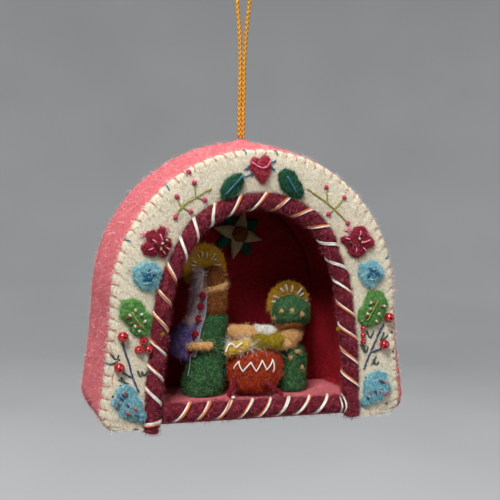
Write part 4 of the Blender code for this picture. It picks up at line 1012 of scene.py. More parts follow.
def leaf_outline(length, width):
    t = circle(60)
    x = np.sign(np.sin(t)) * width / 2 * np.abs(np.sin(t)) ** 1.1
    return np.stack([x, length / 2 * np.cos(t)], axis=1)


def lobed_outline(radius, lobes, depth, turned_by=0.0):
    t = circle(80)
    r = radius * (1 - depth + depth * np.cos(lobes * t + math.radians(turned_by)))
    return np.stack([r * np.cos(t), r * np.sin(t)], axis=1)


def on_crown(side, angle, clear):
    point, out = ROLL_LINE.crown(angle)
    return (point + out * (WOUND_RADIUS + clear)) * (side, 1)


def on_side(side, height, clear):
    return np.array([side * (ROLL_LINE.half_at(height) + WOUND_RADIUS + clear), height])


def cut_out(shape, outline, centre, thickness, rough, seed, crown=0.25, surface=on_face, start=0.0):
    """A felt cut-out with a rounded, uneven edge, laid on a surface."""
    o = smooth_line(outline, 0.3, closed=True)
    centre = np.asarray(centre, float)
    radius = np.linalg.norm(o, axis=1).mean()
    wobble = 1 + rough * lumps([(x * 0.9, seed * 7.0, z * 0.9) for x, z in o], 1.4, seed) * 0.6
    o = o * wobble[:, None]
    skins = [surface(centre + o * 0.97, start - 0.15)]
    for angle in range(0, 91, 15):
        a = math.radians(angle)
        last = 1 - 0.55 * thickness * (1 - math.cos(a)) / radius
        skins.append(surface(centre + o * last, start + thickness * (0.12 + 0.88 * math.sin(a))))
    for share in 1 - np.arange(1, 13) / 13:
        skins.append(surface(centre + o * last * share, start + thickness * (1 + crown * (1 - share**2))))
    shape.loft(skins)


def stitch(shape, ends, radius, lift, base=0.0, surface=on_face):
    """One straight stitch that dives into the felt at both ends."""
    a, b = np.asarray(ends, float)
    long = np.linalg.norm(b - a)
    t = np.linspace(0, 1, max(6, int(long / 0.5) + 4))
    dive = np.exp(-t * long / 0.18) + np.exp(-(1 - t) * long / 0.18)
    height = base + lift * np.sin(math.pi * t) ** 0.45 - 0.35 * dive
    shape.tube(surface(a + (b - a) * t[:, None], height), radius, 6)


def stem(shape, route, step, radius, lift, base=0.0):
    """A line of stem stitches along a route, each overlapping the next a little."""
    line = smooth_line(route, step)
    for a, b in zip(line[:-1], line[1:]):
        stitch(shape, (a, b + (b - a) * 0.12), radius, lift, base)


def double_stitch(shape, route):
    """A stitch along each part of a route, with a shorter one beside it."""
    for a, b in zip(route[:-1], route[1:]):
        beside = 0.34 * np.array([b[1] - a[1], a[0] - b[0]]) / math.dist(a, b)
        stitch(shape, (a, b), 0.2, 0.28)
        stitch(shape, (a + beside, b + 0.5 * beside), 0.17, 0.22)


def french_knot(shape, centre, size, seed=0):
    """A thread coiled on itself two and a half times."""
    a = np.linspace(0, 2 * math.pi * 2.6, 34) + seed * 1.7
    share = np.linspace(0, 1, 34)
    r = size * (0.62 - 0.45 * share)
    places = np.asarray(centre, float) + np.stack([r * np.cos(a), r * np.sin(a)], axis=1)
    shape.tube(on_face(places, size * (0.15 + 0.75 * share)), size * 0.34, 6)


def seed_bead(shape, centre, radius, base, material, axis):
    """A small ring bead lying with its bore along the face."""
    middle = on_face([centre], base + radius * 0.8)[0]
    cos, sin = math.cos(axis), math.sin(axis)
    rings = []
    for a in circle(12):
        ring = []
        for b in circle(8):
            r = radius * 0.66 + radius * 0.36 * math.cos(b)
            h = radius * 0.62 * math.sin(b)
            u, v = r * math.cos(a), r * math.sin(a)
            ring.append(middle + np.array([h * cos - u * sin, v, h * sin + u * cos]))
        rings.append(ring)
    shape.loft(rings, material, closed_run=True)


def glass_bead(shape, centre, radius, axis):
    """A round glass bead; its bore looks along the axis."""
    middle = on_face([centre], radius * 0.86)[0]
    d = np.array(axis, float) / np.linalg.norm(axis)
    u = np.cross(d, [0.0, 0.0, 1.0])
    u /= np.linalg.norm(u)
    v = np.cross(d, u)
    profile = [(radius * math.cos(b), radius * math.sin(b)) for b in np.radians(np.linspace(-72, 72, 17))]
    profile += [(radius * 0.22, radius * 0.8), (radius * 0.2, 0.0), (radius * 0.22, -radius * 0.8)]
    rings = []
    for a in circle(30):
        out = u * math.cos(a) + v * math.sin(a)
        rings.append([middle + out * r + d * h for r, h in profile])
    shape.loft(rings, closed_run=True)


# Outlines of the cut-outs about their centres, in millimetres, as the photograph shows them
OUTLINES = {
    "heart": (
        (-4.0, 2.6), (-3.0, 3.6), (-1.3, 3.0), (0.3, 4.0), (1.7, 3.7), (2.3, 2.3), (2.1, 0.6),
        (1.7, -1.6), (0.9, -3.4), (-0.4, -4.6), (-1.2, -3.7), (-2.0, -2.2), (-3.7, -0.8), (-4.5, 0.8),
    ),
    "left_top_leaf": (
        (2.6, 2.9), (0.4, 2.7), (-1.4, 1.6), (-2.8, 0.0), (-3.8, -2.2), (-3.4, -4.5), (-1.2, -4.7),
        (1.4, -3.1),
        (2.8, -1.4), (3.3, 0.6),
    ),
    "right_top_leaf": (
        (-3.0, 4.8), (-4.3, 3.6), (-4.6, 1.8), (-4.4, 0.0), (-3.3, -1.7), (-0.3, -3.8), (2.4, -4.5),
        (3.6, -3.2),
        (3.0, 0.0), (1.4, 1.6), (0.6, 3.6), (-1.2, 4.5),
    ),
    "left_red_flower": (
        (-4.8, -1.6), (-2.8, 0.2), (-3.1, 2.3), (-1.4, 4.0), (0.2, 3.2), (1.6, 4.8), (2.7, 3.3), (2.6, 1.4),
        (4.6, 1.0), (5.0, -0.8), (4.3, -2.6), (3.3, -4.6), (1.9, -4.9), (0.8, -3.5), (-1.2, -4.3),
        (-3.5, -3.7),
    ),
    "right_red_flower": (
        (-6.6, 1.2), (-4.2, 1.7), (-2.9, 3.0), (-2.2, 4.6), (0.3, 5.2), (1.9, 3.8), (2.1, 1.6), (4.2, 1.3),
        (5.0, -0.4), (3.9, -1.7), (2.1, -2.2), (1.6, -3.6), (-0.3, -5.3), (-2.3, -5.4), (-3.5, -4.2),
        (-4.3, -2.4),
        (-5.0, -0.9), (-6.7, -0.6),
    ),
    "left_blue_blossom": (
        (-3.3, 2.8), (-0.8, 3.9), (1.8, 4.6), (4.0, 3.2), (5.5, 1.2), (4.9, -1.2), (3.6, -3.6), (0.8, -4.7),
        (-1.6, -3.4), (-3.0, -1.6), (-3.8, 0.6),
    ),
    "right_blue_blossom": (
        (-3.0, 3.2), (-1.0, 3.7), (1.2, 4.3), (3.6, 2.8), (5.3, 0.3), (4.1, -2.2), (0.7, -4.8),
        (-2.2, -3.0), (-3.9, -0.2),
    ),
    "left_green_leaf": (
        (-4.8, 4.7), (-1.9, 5.4), (0.5, 4.8), (1.6, 3.2), (2.4, 1.6), (4.2, 0.0), (4.2, -2.0), (3.6, -4.6),
        (2.6, -6.0), (0.0, -6.1), (-2.0, -5.0), (-2.3, -3.3), (-3.7, -1.8), (-5.6, 0.0), (-5.4, 2.4),
    ),
    "right_green_leaf": (
        (-2.1, 6.0), (0.2, 6.4), (2.8, 6.0), (4.0, 4.2), (4.8, 2.2), (4.4, -0.4), (3.3, -2.4), (1.9, -4.4),
        (-0.8, -5.7), (-3.4, -5.0), (-5.2, -3.3), (-5.7, -1.3), (-4.0, 1.4), (-3.0, 3.6),
    ),
    "left_corner_bloom": (
        (-6.0, 0.7), (-4.6, 2.3), (-4.6, 4.7), (-2.8, 6.1), (-0.6, 5.9), (1.4, 4.2), (2.2, 1.8), (3.6, 0.3),
        (3.1, -1.7), (4.6, -3.6), (4.3, -5.4), (2.8, -5.8), (1.0, -4.8), (-0.6, -4.3), (-3.3, -3.2),
        (-4.3, -1.0),
    ),
    "right_corner_bloom": (
        (-2.0, 6.1), (0.8, 6.6), (3.5, 6.0), (3.4, 4.2), (2.5, 2.8), (4.6, 1.5), (4.7, -0.8), (2.3, -1.8),
        (1.6, -3.4), (-0.8, -3.8), (-2.6, -4.9), (-4.9, -4.9), (-6.0, -3.5), (-4.7, -2.0), (-4.8, 2.0),
        (-4.3, 3.8),
    ),
}
# Cut-outs on both sides: name, look, loose fibres, number of their draw, then beside the crown at
# degrees from the top or beside the side at a height, and how clear of the wound roll
PAIRS = (
    ("top_leaf", "dark_leaf_felt", "dark_leaf_fibre", 3, on_crown, 15.2, 3.1),
    ("red_flower", "flower_felt", "rose_fibre", 6, on_crown, 61.5, 4.4),
    ("blue_blossom", "sky_felt", "blue_fibre", 9, on_side, 48.6, 4.4),
    ("green_leaf", "bright_leaf_felt", "leaf_fibre", 12, on_side, 36.2, 5.2),
    ("corner_bloom", "sky_felt", "blue_fibre", 15, on_side, 8.6, 5.6),
)


def edge_first(_, normals):
    """Fewer loose fibres on a cut-out's front than round its edge."""
    return np.where(normals[:, 1] < -0.85, 0.45, 1.0)


def cut_piece(name, look, loose, seed, centre):
    shape = Shape()
    cut_out(shape, OUTLINES[name], centre, CUTOUT, 0.12, seed)
    piece(name + "_felt", shape, look, name, ((0.3, 1.9), (0.16, 0.8)))
    fuzz(name + "_felt_fibres", name + "_felt", 2400, (0.4, 1.2), loose, 0.085, 20 + seed, 0.8, edge_first)


def make_cut_outs():
    cut_piece("heart", "heart_felt", "heart_fibre", 1, on_crown(1, 0, 6.4))
    for side, word in SIDES:
        for name, look, loose, seed, place, where, clear in PAIRS:
            cut_piece(f"{word}_{name}", look, loose, seed + side, place(side, where, clear))


# Beads as (height, margin from the wound roll): two on each stem, then the three by the green leaf
STEM_BEADS = {"left": ((30.0, 8.0), (20.3, 8.5)), "right": ((33.4, 8.9), (24.3, 6.8))}
STEM_BEAD_RADIUS = 1.7
LEFT_CLUSTER = (26.6, 1.4)
RIGHT_CLUSTER = ((30.0, 27.7, 25.4), 1.0)


def bead_places(side, word):
    """Where each bead lies on the face, and its radius."""
    r = STEM_BEAD_RADIUS
    places = [(on_side(side, height, margin + r), r) for height, margin in STEM_BEADS[word]]
    if side > 0:
        heights, r = RIGHT_CLUSTER
        return places + [(on_side(side, height, 0.1 + r), r) for height in heights]
    height, r = LEFT_CLUSTER
    reach = (r + GAP / 2) / math.cos(math.radians(30))
    return places + [(on_side(side, height, 0.1 + 2 * r) + reach * direction(a), r) for a in (90, 210, 330)]


def make_beads():
    for side, word in SIDES:
        for number, (place, radius) in enumerate(bead_places(side, word), 1):
            shape = Shape()
            axis = (0.25 * math.sin(number * 2.1 + side), -0.9, 0.3 * math.cos(number * 1.7))
            glass_bead(shape, place, radius, axis)
            piece(f"{word}_glass_bead_{number}", shape, "red_glass", f"{word}_bead_{number}")


# Embroidery as the photograph shows it, in millimetres on the face (x, z)
SPRIGS = (
    ((-16.9, 76.1), (-19.2, 75.1), (-21.1, 73.8), (-24.8, 71.7), (-27.0, 69.9), (-28.6, 67.4)),
    ((15.4, 76.5), (19.6, 73.9), (22.6, 71.9), (25.3, 69.8), (27.6, 67.8), (29.8, 65.8)),
)
TWIGS = (
    ((-22.1, 73.4), (-22.7, 77.4)), ((-22.1, 73.4), (-19.4, 72.5)), ((-26.8, 70.1), (-28.2, 73.0)),
    ((-26.5, 70.2), (-24.0, 68.9)),
    ((22.6, 72.1), (22.3, 76.6)), ((25.3, 69.8), (28.3, 73.2)), ((25.3, 69.8), (23.5, 68.5)),
)
SPRIG_KNOTS = (
    (-22.7, 77.9), (-19.1, 72.4), (-28.3, 73.5), (-23.7, 68.8), (-28.6, 67.0), (-24.4, 81.3),
    (22.1, 77.1), (28.7, 73.8), (23.3, 68.2), (30.1, 65.3),
)
NAVY_STEMS = (
    ((-44.9, 28.2), (-44.3, 25.2), (-43.0, 21.8), (-42.2, 18.4), (-41.1, 15.4), (-39.8, 12.4)),
    ((-44.9, 18.7), (-42.3, 17.1)),
    ((44.6, 31.4), (42.9, 28.5), (41.2, 25.0), (40.0, 22.1), (38.6, 19.0), (37.6, 16.2)),
    ((40.1, 21.7), (42.0, 22.2), (43.6, 22.8)),
)
NAVY_DOTS = ((47.7, 28.2), (48.4, 21.6), (38.4, 13.1), (46.4, 3.8), (-47.9, 11.2))
FOOT_STITCHES = (
    ((32.6, 0.7), (35.8, 0.5)), ((34.2, 1.5), (35.6, 0.6)), ((34.0, 0.2), (35.6, 0.4)),
    ((-41.6, 0.3), (-39.6, 0.5)), ((-40.9, 0.9), (-40.3, 0.2)),
)
GREEN_VEES = (
    ((-48.6, 24.6), (-46.7, 22.6), (-46.2, 24.4)), ((-48.4, 21.4), (-46.2, 22.4), (-45.9, 22.9)),
    ((-40.1, 19.2), (-39.2, 16.9), (-38.7, 18.8)), ((-38.7, 18.8), (-38.1, 17.3), (-36.8, 18.9)),
    ((-46.3, 16.7), (-42.8, 15.0)), ((-45.4, 17.3), (-44.0, 15.2)), ((-45.9, 14.5), (-44.0, 15.0)),
    ((38.2, 29.4), (39.4, 26.4), (41.0, 29.3)), ((44.9, 28.4), (43.3, 25.3), (46.4, 27.4)),
    ((36.2, 24.6), (37.9, 21.3), (38.9, 23.8)), ((37.2, 24.9), (38.0, 21.6)),
    ((42.2, 20.2), (40.3, 17.2)), ((41.0, 19.4), (41.7, 17.3), (43.2, 18.5)),
)
BLUE_STITCHES = (
    ((-6.3, 82.0), (-4.3, 83.7)), ((-6.2, 79.8), (-2.7, 81.4)), ((1.9, 82.9), (4.3, 82.4)),
    ((1.9, 83.8), (3.7, 82.6)), ((2.8, 84.6), (4.5, 85.4)),
)
HEART_VEE = ((-4.2, 84.6), (-2.7, 83.5), (-0.3, 82.7), (0.6, 83.2), (1.7, 84.9))
DARK_VEINS = (((-7.6, 80.2), (-10.2, 77.3), (-12.6, 74.7)), ((7.8, 80.3), (9.2, 77.8), (10.8, 75.6)))
BRIGHT_VEINS = (((-42.6, 37.8), (-41.1, 35.2), (-39.0, 32.8)), ((41.0, 39.6), (39.1, 36.1), (37.4, 33.0)))
FLOWER_STITCHES = (
    ((-33.9, 61.8), (-33.1, 59.6)), ((-31.7, 57.6), (-30.3, 56.8)), ((-33.1, 56.7), (-32.1, 55.6)),
    ((-36.2, 60.1), (-34.9, 59.2)), ((-37.4, 57.0), (-36.0, 57.6)),
    ((34.1, 62.8), (33.7, 61.2)), ((34.7, 58.9), (37.5, 59.8)), ((32.5, 57.5), (32.7, 55.6)),
    ((35.2, 57.2), (36.2, 56.0)), ((29.0, 60.4), (30.4, 60.0)),
)
FLOWER_BEADS = (
    (-33.7, 57.3), (-35.7, 59.1), (-33.3, 59.0), (-32.5, 58.0), (-31.8, 60.0),
    (30.3, 59.2), (33.4, 60.3), (32.0, 58.0), (34.5, 59.1),
)
# Tufts of five stitches: place, and degrees of the first
TUFTS = (((-38.7, 61.7), 165), ((-31.4, 63.2), 60), ((30.6, 63.1), 120), ((37.6, 62.0), 25))
LEAF_BEADS = (
    (-41.6, 38.4), (-43.3, 36.9), (-39.7, 37.1), (-38.6, 34.9), (-41.7, 33.4), (-40.3, 31.9),
    (38.1, 38.9), (38.1, 36.9), (37.1, 35.1), (43.1, 37.7), (41.2, 35.1), (40.3, 32.6),
)
LEAF_REDS = (
    (-42.5, 34.4), (-40.4, 33.2), (-43.9, 36.2), (39.3, 38.7), (36.8, 34.3), (42.2, 37.5),
    (40.9, 32.0),
)
BLOOM_NAVY = (
    ((-45.2, 12.2), (-44.0, 11.6)), ((-46.0, 11.3), (-45.2, 10.7)), ((-43.9, 9.2), (-43.2, 8.0)),
    ((-41.3, 5.4), (-40.0, 5.2)), ((42.6, 12.2), (43.5, 11.8)), ((41.0, 9.0), (41.3, 7.8)),
    ((38.1, 6.8), (38.9, 6.2)),
)
BLOOM_REDS = (
    ((-46.8, 9.6), (-46.1, 9.0)), ((-42.0, 7.6), (-40.3, 6.9)), ((-44.4, 6.7), (-42.4, 5.4)),
    ((-44.6, 12.9), (-43.9, 12.4)), ((43.8, 12.1), (44.3, 11.3)), ((42.6, 8.5), (43.2, 8.0)),
    ((44.1, 7.1), (46.4, 8.0)), ((39.1, 8.4), (39.5, 7.8)),
)
LOOSE_THREAD = ((-49.0, 27.8), (-48.0, 24.8), (-47.2, 22.9), (-47.0, 20.7), (-48.1, 17.5), (-48.0, 14.6))
SILL_CORNER_STITCHES = (((28.6, 6.9), (29.4, 1.6)), ((30.1, 6.9), (30.8, 1.4)))
# Above the cut-outs' middles, where their fibres end
TOP = CUTOUT * 1.25 + 0.25
BLOSSOM_CENTRES = [on_side(side, 48.6, 4.4) + (0.9, 0.1) for side in (-1, 1)]
# Each piece of thread work: its look, then how, where and with what sizes it is sewn
SEWN = {
    "sprig_stems": (
        "olive_thread", (stem, SPRIGS, 2.0, 0.3, 0.28), (stitch, TWIGS, 0.24, 0.25),
        (stem, BRIGHT_VEINS, 2.4, 0.24, 0.22, TOP),
    ),
    "navy_stems": (
        "navy_thread", (stem, NAVY_STEMS, 2.4, 0.34, 0.3), (french_knot, NAVY_DOTS, 0.5),
        (stitch, FOOT_STITCHES, 0.2, 0.3),
    ),
    "green_stitches": ("green_thread", (double_stitch, GREEN_VEES)),
    "blue_stitches": (
        "blue_thread", (stitch, BLUE_STITCHES, 0.34, 0.4), (stem, DARK_VEINS, 3.2, 0.27, 0.22, TOP),
    ),
    "rose_stitches": (
        "rose_thread", (stem, [HEART_VEE], 1.9, 0.24, 0.24, TOP), (stitch, FLOWER_STITCHES, 0.22, 0.28, TOP),
        (stitch, [
            (place, place + direction(lean + 72 * k) * (1.5 if k % 2 else 1.0))
            for place, lean in TUFTS for k in range(5)
        ], 0.22, 0.3, 0.1),
    ),
    "blossom_stitches": (
        "sky_thread", (stitch, [
            (centre + a, centre + b) for centre in BLOSSOM_CENTRES
            for a, b in (((-1.8, -2.2), (1.4, -1.7)), ((-0.4, 1.2), (1.6, 1.9)))
        ], 0.12, 0.35, TOP),
    ),
    "bloom_dark_stitches": ("navy_thread", (stitch, BLOOM_NAVY, 0.36, 0.25, TOP - 0.05)),
    "red_stitches": (
        "red_thread",
        (stitch, [((x - 0.4, z - 0.1), (x + 0.4, z + 0.2)) for x, z in LEAF_REDS], 0.26, 0.3, TOP),
        (stitch, BLOOM_REDS, 0.27, 0.3, TOP), (french_knot, [(-46.4, 12.8)], 0.5),
    ),
}


def make_embroidery():
    for name, (look, *parts) in SEWN.items():
        shape = Shape()
        for sew, places, *sizes in parts:
            for place in places:
                sew(shape, place, *sizes)
        piece(name, shape, look)
    knots, beads, deep, loose, buttons, ends = (Shape() for _ in range(6))
    for k, place in enumerate(SPRIG_KNOTS):
        french_knot(knots, place, 1.0, k)
    piece("sprig_knots", knots, "magenta_thread")
    for k, place in enumerate(FLOWER_BEADS):
        seed_bead(beads, place, 0.5, TOP + 0.1, 1 if k % 4 == 0 else 2 if k % 2 else 0, k * 1.1)
    for k, place in enumerate(LEAF_BEADS):
        seed_bead(beads, place, 0.58, TOP + 0.1, 0, k * 0.9)
    piece("seed_beads", beads, "clear_glass gold_bead dark_bead")
    # Dark-blue wool worked into the middle of each light-blue blossom
    for side, centre in zip((-1, 1), BLOSSOM_CENTRES):
        outline = lobed_outline(2.5, 5, 0.3, 40 * side)
        cut_out(deep, outline, centre, 0.7, 0.35, 66 + side, 0.3, start=TOP - 0.5)
    piece("blossom_centres", deep, "deep_blue_wool", lump=((0.25, 1.2),))
    line = smooth_line(LOOSE_THREAD, 0.5)
    loose.tube(on_face(line, 0.12 + 0.12 * np.sin(np.arange(len(line)))), 0.12, 6)
    piece("loose_thread", loose, "pink_thread")
    for x, z in ((-31.0, 30.4), (27.0, 30.1)):
        wool_ball(buttons, (x, ROLL_SETBACK - ROLL_RADIUS - 0.5, z), 0.75)
    piece("roll_knots", buttons, "blanket_felt", None, ((0.25, 0.6),), "winding_thread", wholly)
    for a, b in SILL_CORNER_STITCHES:
        depth = ROLL_SETBACK - (ROLL_RADIUS + 0.35) * np.sin(np.linspace(0.25, math.pi - 0.25, 9))
        ends.tube(at_depth(np.linspace(a, b, 9), depth), 0.3, 8)
    # A last turn of thread at the left foot
    for number, lift in ((0, 0.35), (0, -0.1), (1, -0.55)):
        a = np.linspace(0.25, math.pi - 0.15, 12)
        places = np.stack([-ROLL_LINE.half_at(2.0) - 3.2 * np.cos(a), 2.0 + lift - 0.45 * np.cos(a)], axis=1)
        ends.tube(at_depth(places, ROLL_SETBACK - (ROLL_RADIUS + 0.4) * np.sin(a)), 0.26, 8, number)
    piece("sill_end_stitches", ends, "white_thread orange_thread", drift=wholly)


# Poinsettia on the niche's back wall

STAR = np.array([2.0, NICHE.top - 17.0])
STAR_TURN = 14.0
PETAL_OUTLINE = (
    (0.0, 4.6), (-0.5, 3.7), (-1.3, 1.9), (-2.1, -0.3), (-2.3, -2.8), (-1.2, -4.2), (1.2, -4.2), (2.3, -2.8),
    (2.1, -0.3), (1.3, 1.9), (0.5, 3.7),
)
PETAL_REACH = (4.3, 4.0, 5.0, 4.6)
LEAF_REACH = 5.0


def leaned(outline, degrees):
    """An outline turned about its middle."""
    (cos, sin), o = direction(degrees), np.asarray(outline, float)
    return np.stack([o[:, 0] * cos - o[:, 1] * sin, o[:, 0] * sin + o[:, 1] * cos], axis=1)


def on_wall(depth):
    """A surface function for a flat wall that faces the front."""
    def surface(places, height=0.0):
        return at_depth(np.atleast_2d(np.asarray(places, float)), depth - height)
    return surface


def make_star():
    wall = NICHE_BACK - GAP
    leaves, petals, centre = Shape(), Shape(), Shape()
    for k, reach in enumerate(PETAL_REACH):
        a = 90 * k - STAR_TURN
        leaf, petal = leaned(leaf_outline(7.6, 4.2), a - 45), leaned(PETAL_OUTLINE, a - 90)
        place = STAR + direction(a + 45) * LEAF_REACH
        cut_out(leaves, leaf, place, 1.3, 0.1, 40 + k, surface=on_wall(wall))
        cut_out(petals, petal, STAR + direction(a) * reach, 1.3, 0.08, 50 + k, 0.5, on_wall(wall - 1.6))
    cut_out(centre, lobed_outline(2.9, 6, 0.05), STAR, 1.6, 0.15, 60, 0.5, on_wall(wall - 3.2))
    piece("poinsettia_leaves", leaves, "dark_leaf_felt", "star_leaves", ((0.1, 1.6),))
    piece("poinsettia_petals", petals, "petal_felt", "star_petals", ((0.1, 1.6),))
    piece("poinsettia_centre", centre, "brown_wool", "star_centre", ((0.18, 1.0),))


# Figures

HALO_RADIUS = 7.9
HALO_RAYS = 15


def turned(shape, stations, low, high, middle, sides, step=0.5, bend=None, squash=1.0):
    """A felted body of revolution: stations are (share of height, radius), smoothly joined."""
    profile = smooth_line([(radius, low + (high - low) * share) for share, radius in stations], step)
    a = circle(sides)
    rings = []
    for radius, z in profile:
        cx, cy = middle(z)
        x, y = max(radius, 0.02) * np.cos(a), max(radius, 0.02) * squash * np.sin(a)
        lift = bend(x, y, (z - low) / (high - low)) if bend else 0.0
        rings.append(np.stack([cx + x, cy + y, np.full(sides, z) + lift], axis=1))
    shape.loft(rings)


def felted(name, look, node, lump, *form):
    shape = Shape()
    turned(shape, *form)
    piece(name, shape, look, node, lump)


def radius_at(stations, share):
    return float(np.interp(share, *np.transpose(stations)))


def around(middle, z, radius, angle, squash=1.0):
    """A point beside a standing body, at degrees from the front."""
    cx, cy = middle(z)
    a = math.radians(angle)
    return np.array([cx + radius * math.sin(a), cy - radius * squash * math.cos(a), z])


def wool_ball(shape, middle, radius):
    """A felted dot, flattened toward the viewer."""
    a = circle(14)
    rings = []
    for b in math.pi * np.arange(1, 10) / 10:
        r = radius * math.sin(b)
        dot = [r * np.cos(a), 0.8 * r * np.sin(a), np.full(14, radius * math.cos(b))]
        rings.append(np.array(middle) + np.stack(dot, axis=1))
    shape.loft(rings)


def halo(figure, centre, front, ray_radius, near_share, far_share, seed):
    """A round felt halo with a ring of white stitches."""
    shape, white = Shape(), Shape()
    centre, surface = np.array(centre), on_wall(front + 1.5)
    cut_out(shape, lobed_outline(HALO_RADIUS, 1, 0.0), centre, 1.5, 0.05, seed, 0.2, surface)
    for k in range(HALO_RAYS):
        out = HALO_RADIUS * direction(360 * (k + 0.3 + 0.2 * math.sin(k * 2.3)) / HALO_RAYS)
        near, far = near_share + 0.04 * math.sin(k * 1.7), far_share + 0.05 * math.cos(k * 2.9)
        stitch(white, (centre + out * near, centre + out * far), ray_radius, 0.3, 1.85, surface)
    name = figure + "_halo_felt"
    piece(name, shape, "halo_felt", figure + "_halo", ((0.16, 2.2), (0.08, 0.8)))
    piece(name + "_rays", white, "white_thread")
    fuzz(name + "_fibres", name, 1500, (0.5, 1.5), "yellow_fibre", 0.08, 70 + seed, 0.6)


JOSEPH = (-13.4, 16.6)
ROBE_HEIGHT = 27.0
JOSEPH_LOW = FLOOR_HEIGHT + GAP
JOSEPH_SHOULDER = JOSEPH_LOW + ROBE_HEIGHT
JOSEPH_CHIN = JOSEPH_SHOULDER + GAP + 7.6
JOSEPH_BROW = JOSEPH_CHIN + GAP + 1.8
JOSEPH_CROWN = JOSEPH_BROW + GAP + 6.0
# The head's radius with its clearance, which the veil and the trim lie on
SNUG = 4.6 + GAP
# (share of height, radius): what the solid robe is, and what is seen of it
ROBE_STATIONS = ((0, 6.6), (0.05, 7.35), (0.2, 7.5), (0.5, 6.2), (0.8, 4.95), (0.95, 4.8), (1, 4.2))
ROBE_FORM = (
    (0, 0.1), (0, 4.0), (0.0, 5.9), (0.05, 6.8), (0.2, 7.0), (0.5, 6.1), (0.8, 4.9), (0.95, 4.7),
    (1, 3.6), (1, 0.1),
)
BEARD_FORM = ((0, 0.1), (0, 2.6), (0.08, 4.0), (0.35, 4.6), (0.7, 4.55), (0.94, 4.1), (1, 3.0), (1, 0.1))
FACE_FORM = ((0, 0.1), (0, 3.6), (0.15, 4.7), (0.5, 5.2), (0.85, 4.7), (1, 3.6), (1, 0.1))
HAIR_FORM = ((0, 0.1), (0, 3.2), (0.08, 4.3), (0.3, 4.7), (0.55, 4.2), (0.78, 3.0), (0.93, 1.6), (1, 0.05))
# Shares of the robe's height, and how far the cloak stands out there: fullest in its middle
CLOAK = ((0.88, 0.8), (0.80, 3.9), (0.68, 6.1), (0.56, 4.9), (0.45, 1.0))
# From and to, in degrees from the front, at each of those heights
CLOAK_TURNS = ((-144, -70), (-151, -71), (-152, -72), (-142, -74), (-111, -77))
VEIL_EDGES = (-52, -60, -68, -70, -72)
TRIM_EDGES = (-56, -61, -68, -70, -73)
TRIM_SHARES = (0.86, 0.66, 0.49)
# Knots on the trim: height, and degrees in from the trim's edge
TRIM_KNOTS = ((40.5, 9), (36.9, 5), (32.7, 2), (27.6, 6), (22.2, 4))
ARM_HEIGHT = 0.62


def joseph_middle(z):
    share = min(1.0, (z - JOSEPH_LOW) / ROBE_HEIGHT)
    return (JOSEPH[0] + 2.6 * share, JOSEPH[1])


def robe_middle(z):
    """The robe's foot stands a little further from the crib than its upper part."""
    x, y = joseph_middle(z)
    return (x - 1.1 * max(0.0, 1 - (z - JOSEPH_LOW) / 13.5), y)


def robe_radius(share):
    return radius_at(ROBE_STATIONS, share)


def wrapped(name, look, node, lump, heights, radii, turns, thickness, columns, drawn_in=None):
    """A felt piece wrapped round the left figure, smoothly drawn between its stations; drawn_in holds
    the radii at its front edge where they differ."""
    stations = [(z, r, e, a, b) for z, r, e, (a, b) in zip(heights, radii, drawn_in or radii, turns)]
    scale = np.array([1, 1, 1, 0.1, 0.1])
    rows = smooth_line(np.array(stations, float) * scale, 0.5) / scale
    share = np.arange(columns + 1) / columns
    outer, inner = [], []
    for z, full, edge, start, end in rows:
        cx, cy = joseph_middle(z)
        from_end = min(z - rows[:, 0].min(), rows[:, 0].max() - z)
        ends = min(1.0, 0.35 + from_end / 1.6) ** 0.6
        a = np.radians(start + (end - start) * share)
        radius = full + (edge - full) * share**3
        eased = thickness * (0.3 + 0.7 * np.sin(math.pi * share) ** 0.45) * ends
        for skin, r in ((outer, radius + eased), (inner, radius)):
            skin.append(np.stack([cx + r * np.sin(a), cy - r * np.cos(a), np.full(len(a), z)], axis=1))
    sheet_piece(name, outer, inner, look, node, lump)


def tilt(x, y):
    """The face is a narrow tilted band; the hair and the beard close on it."""
    return 0.28 * x * np.clip(0.5 - y / 3, 0, 1)


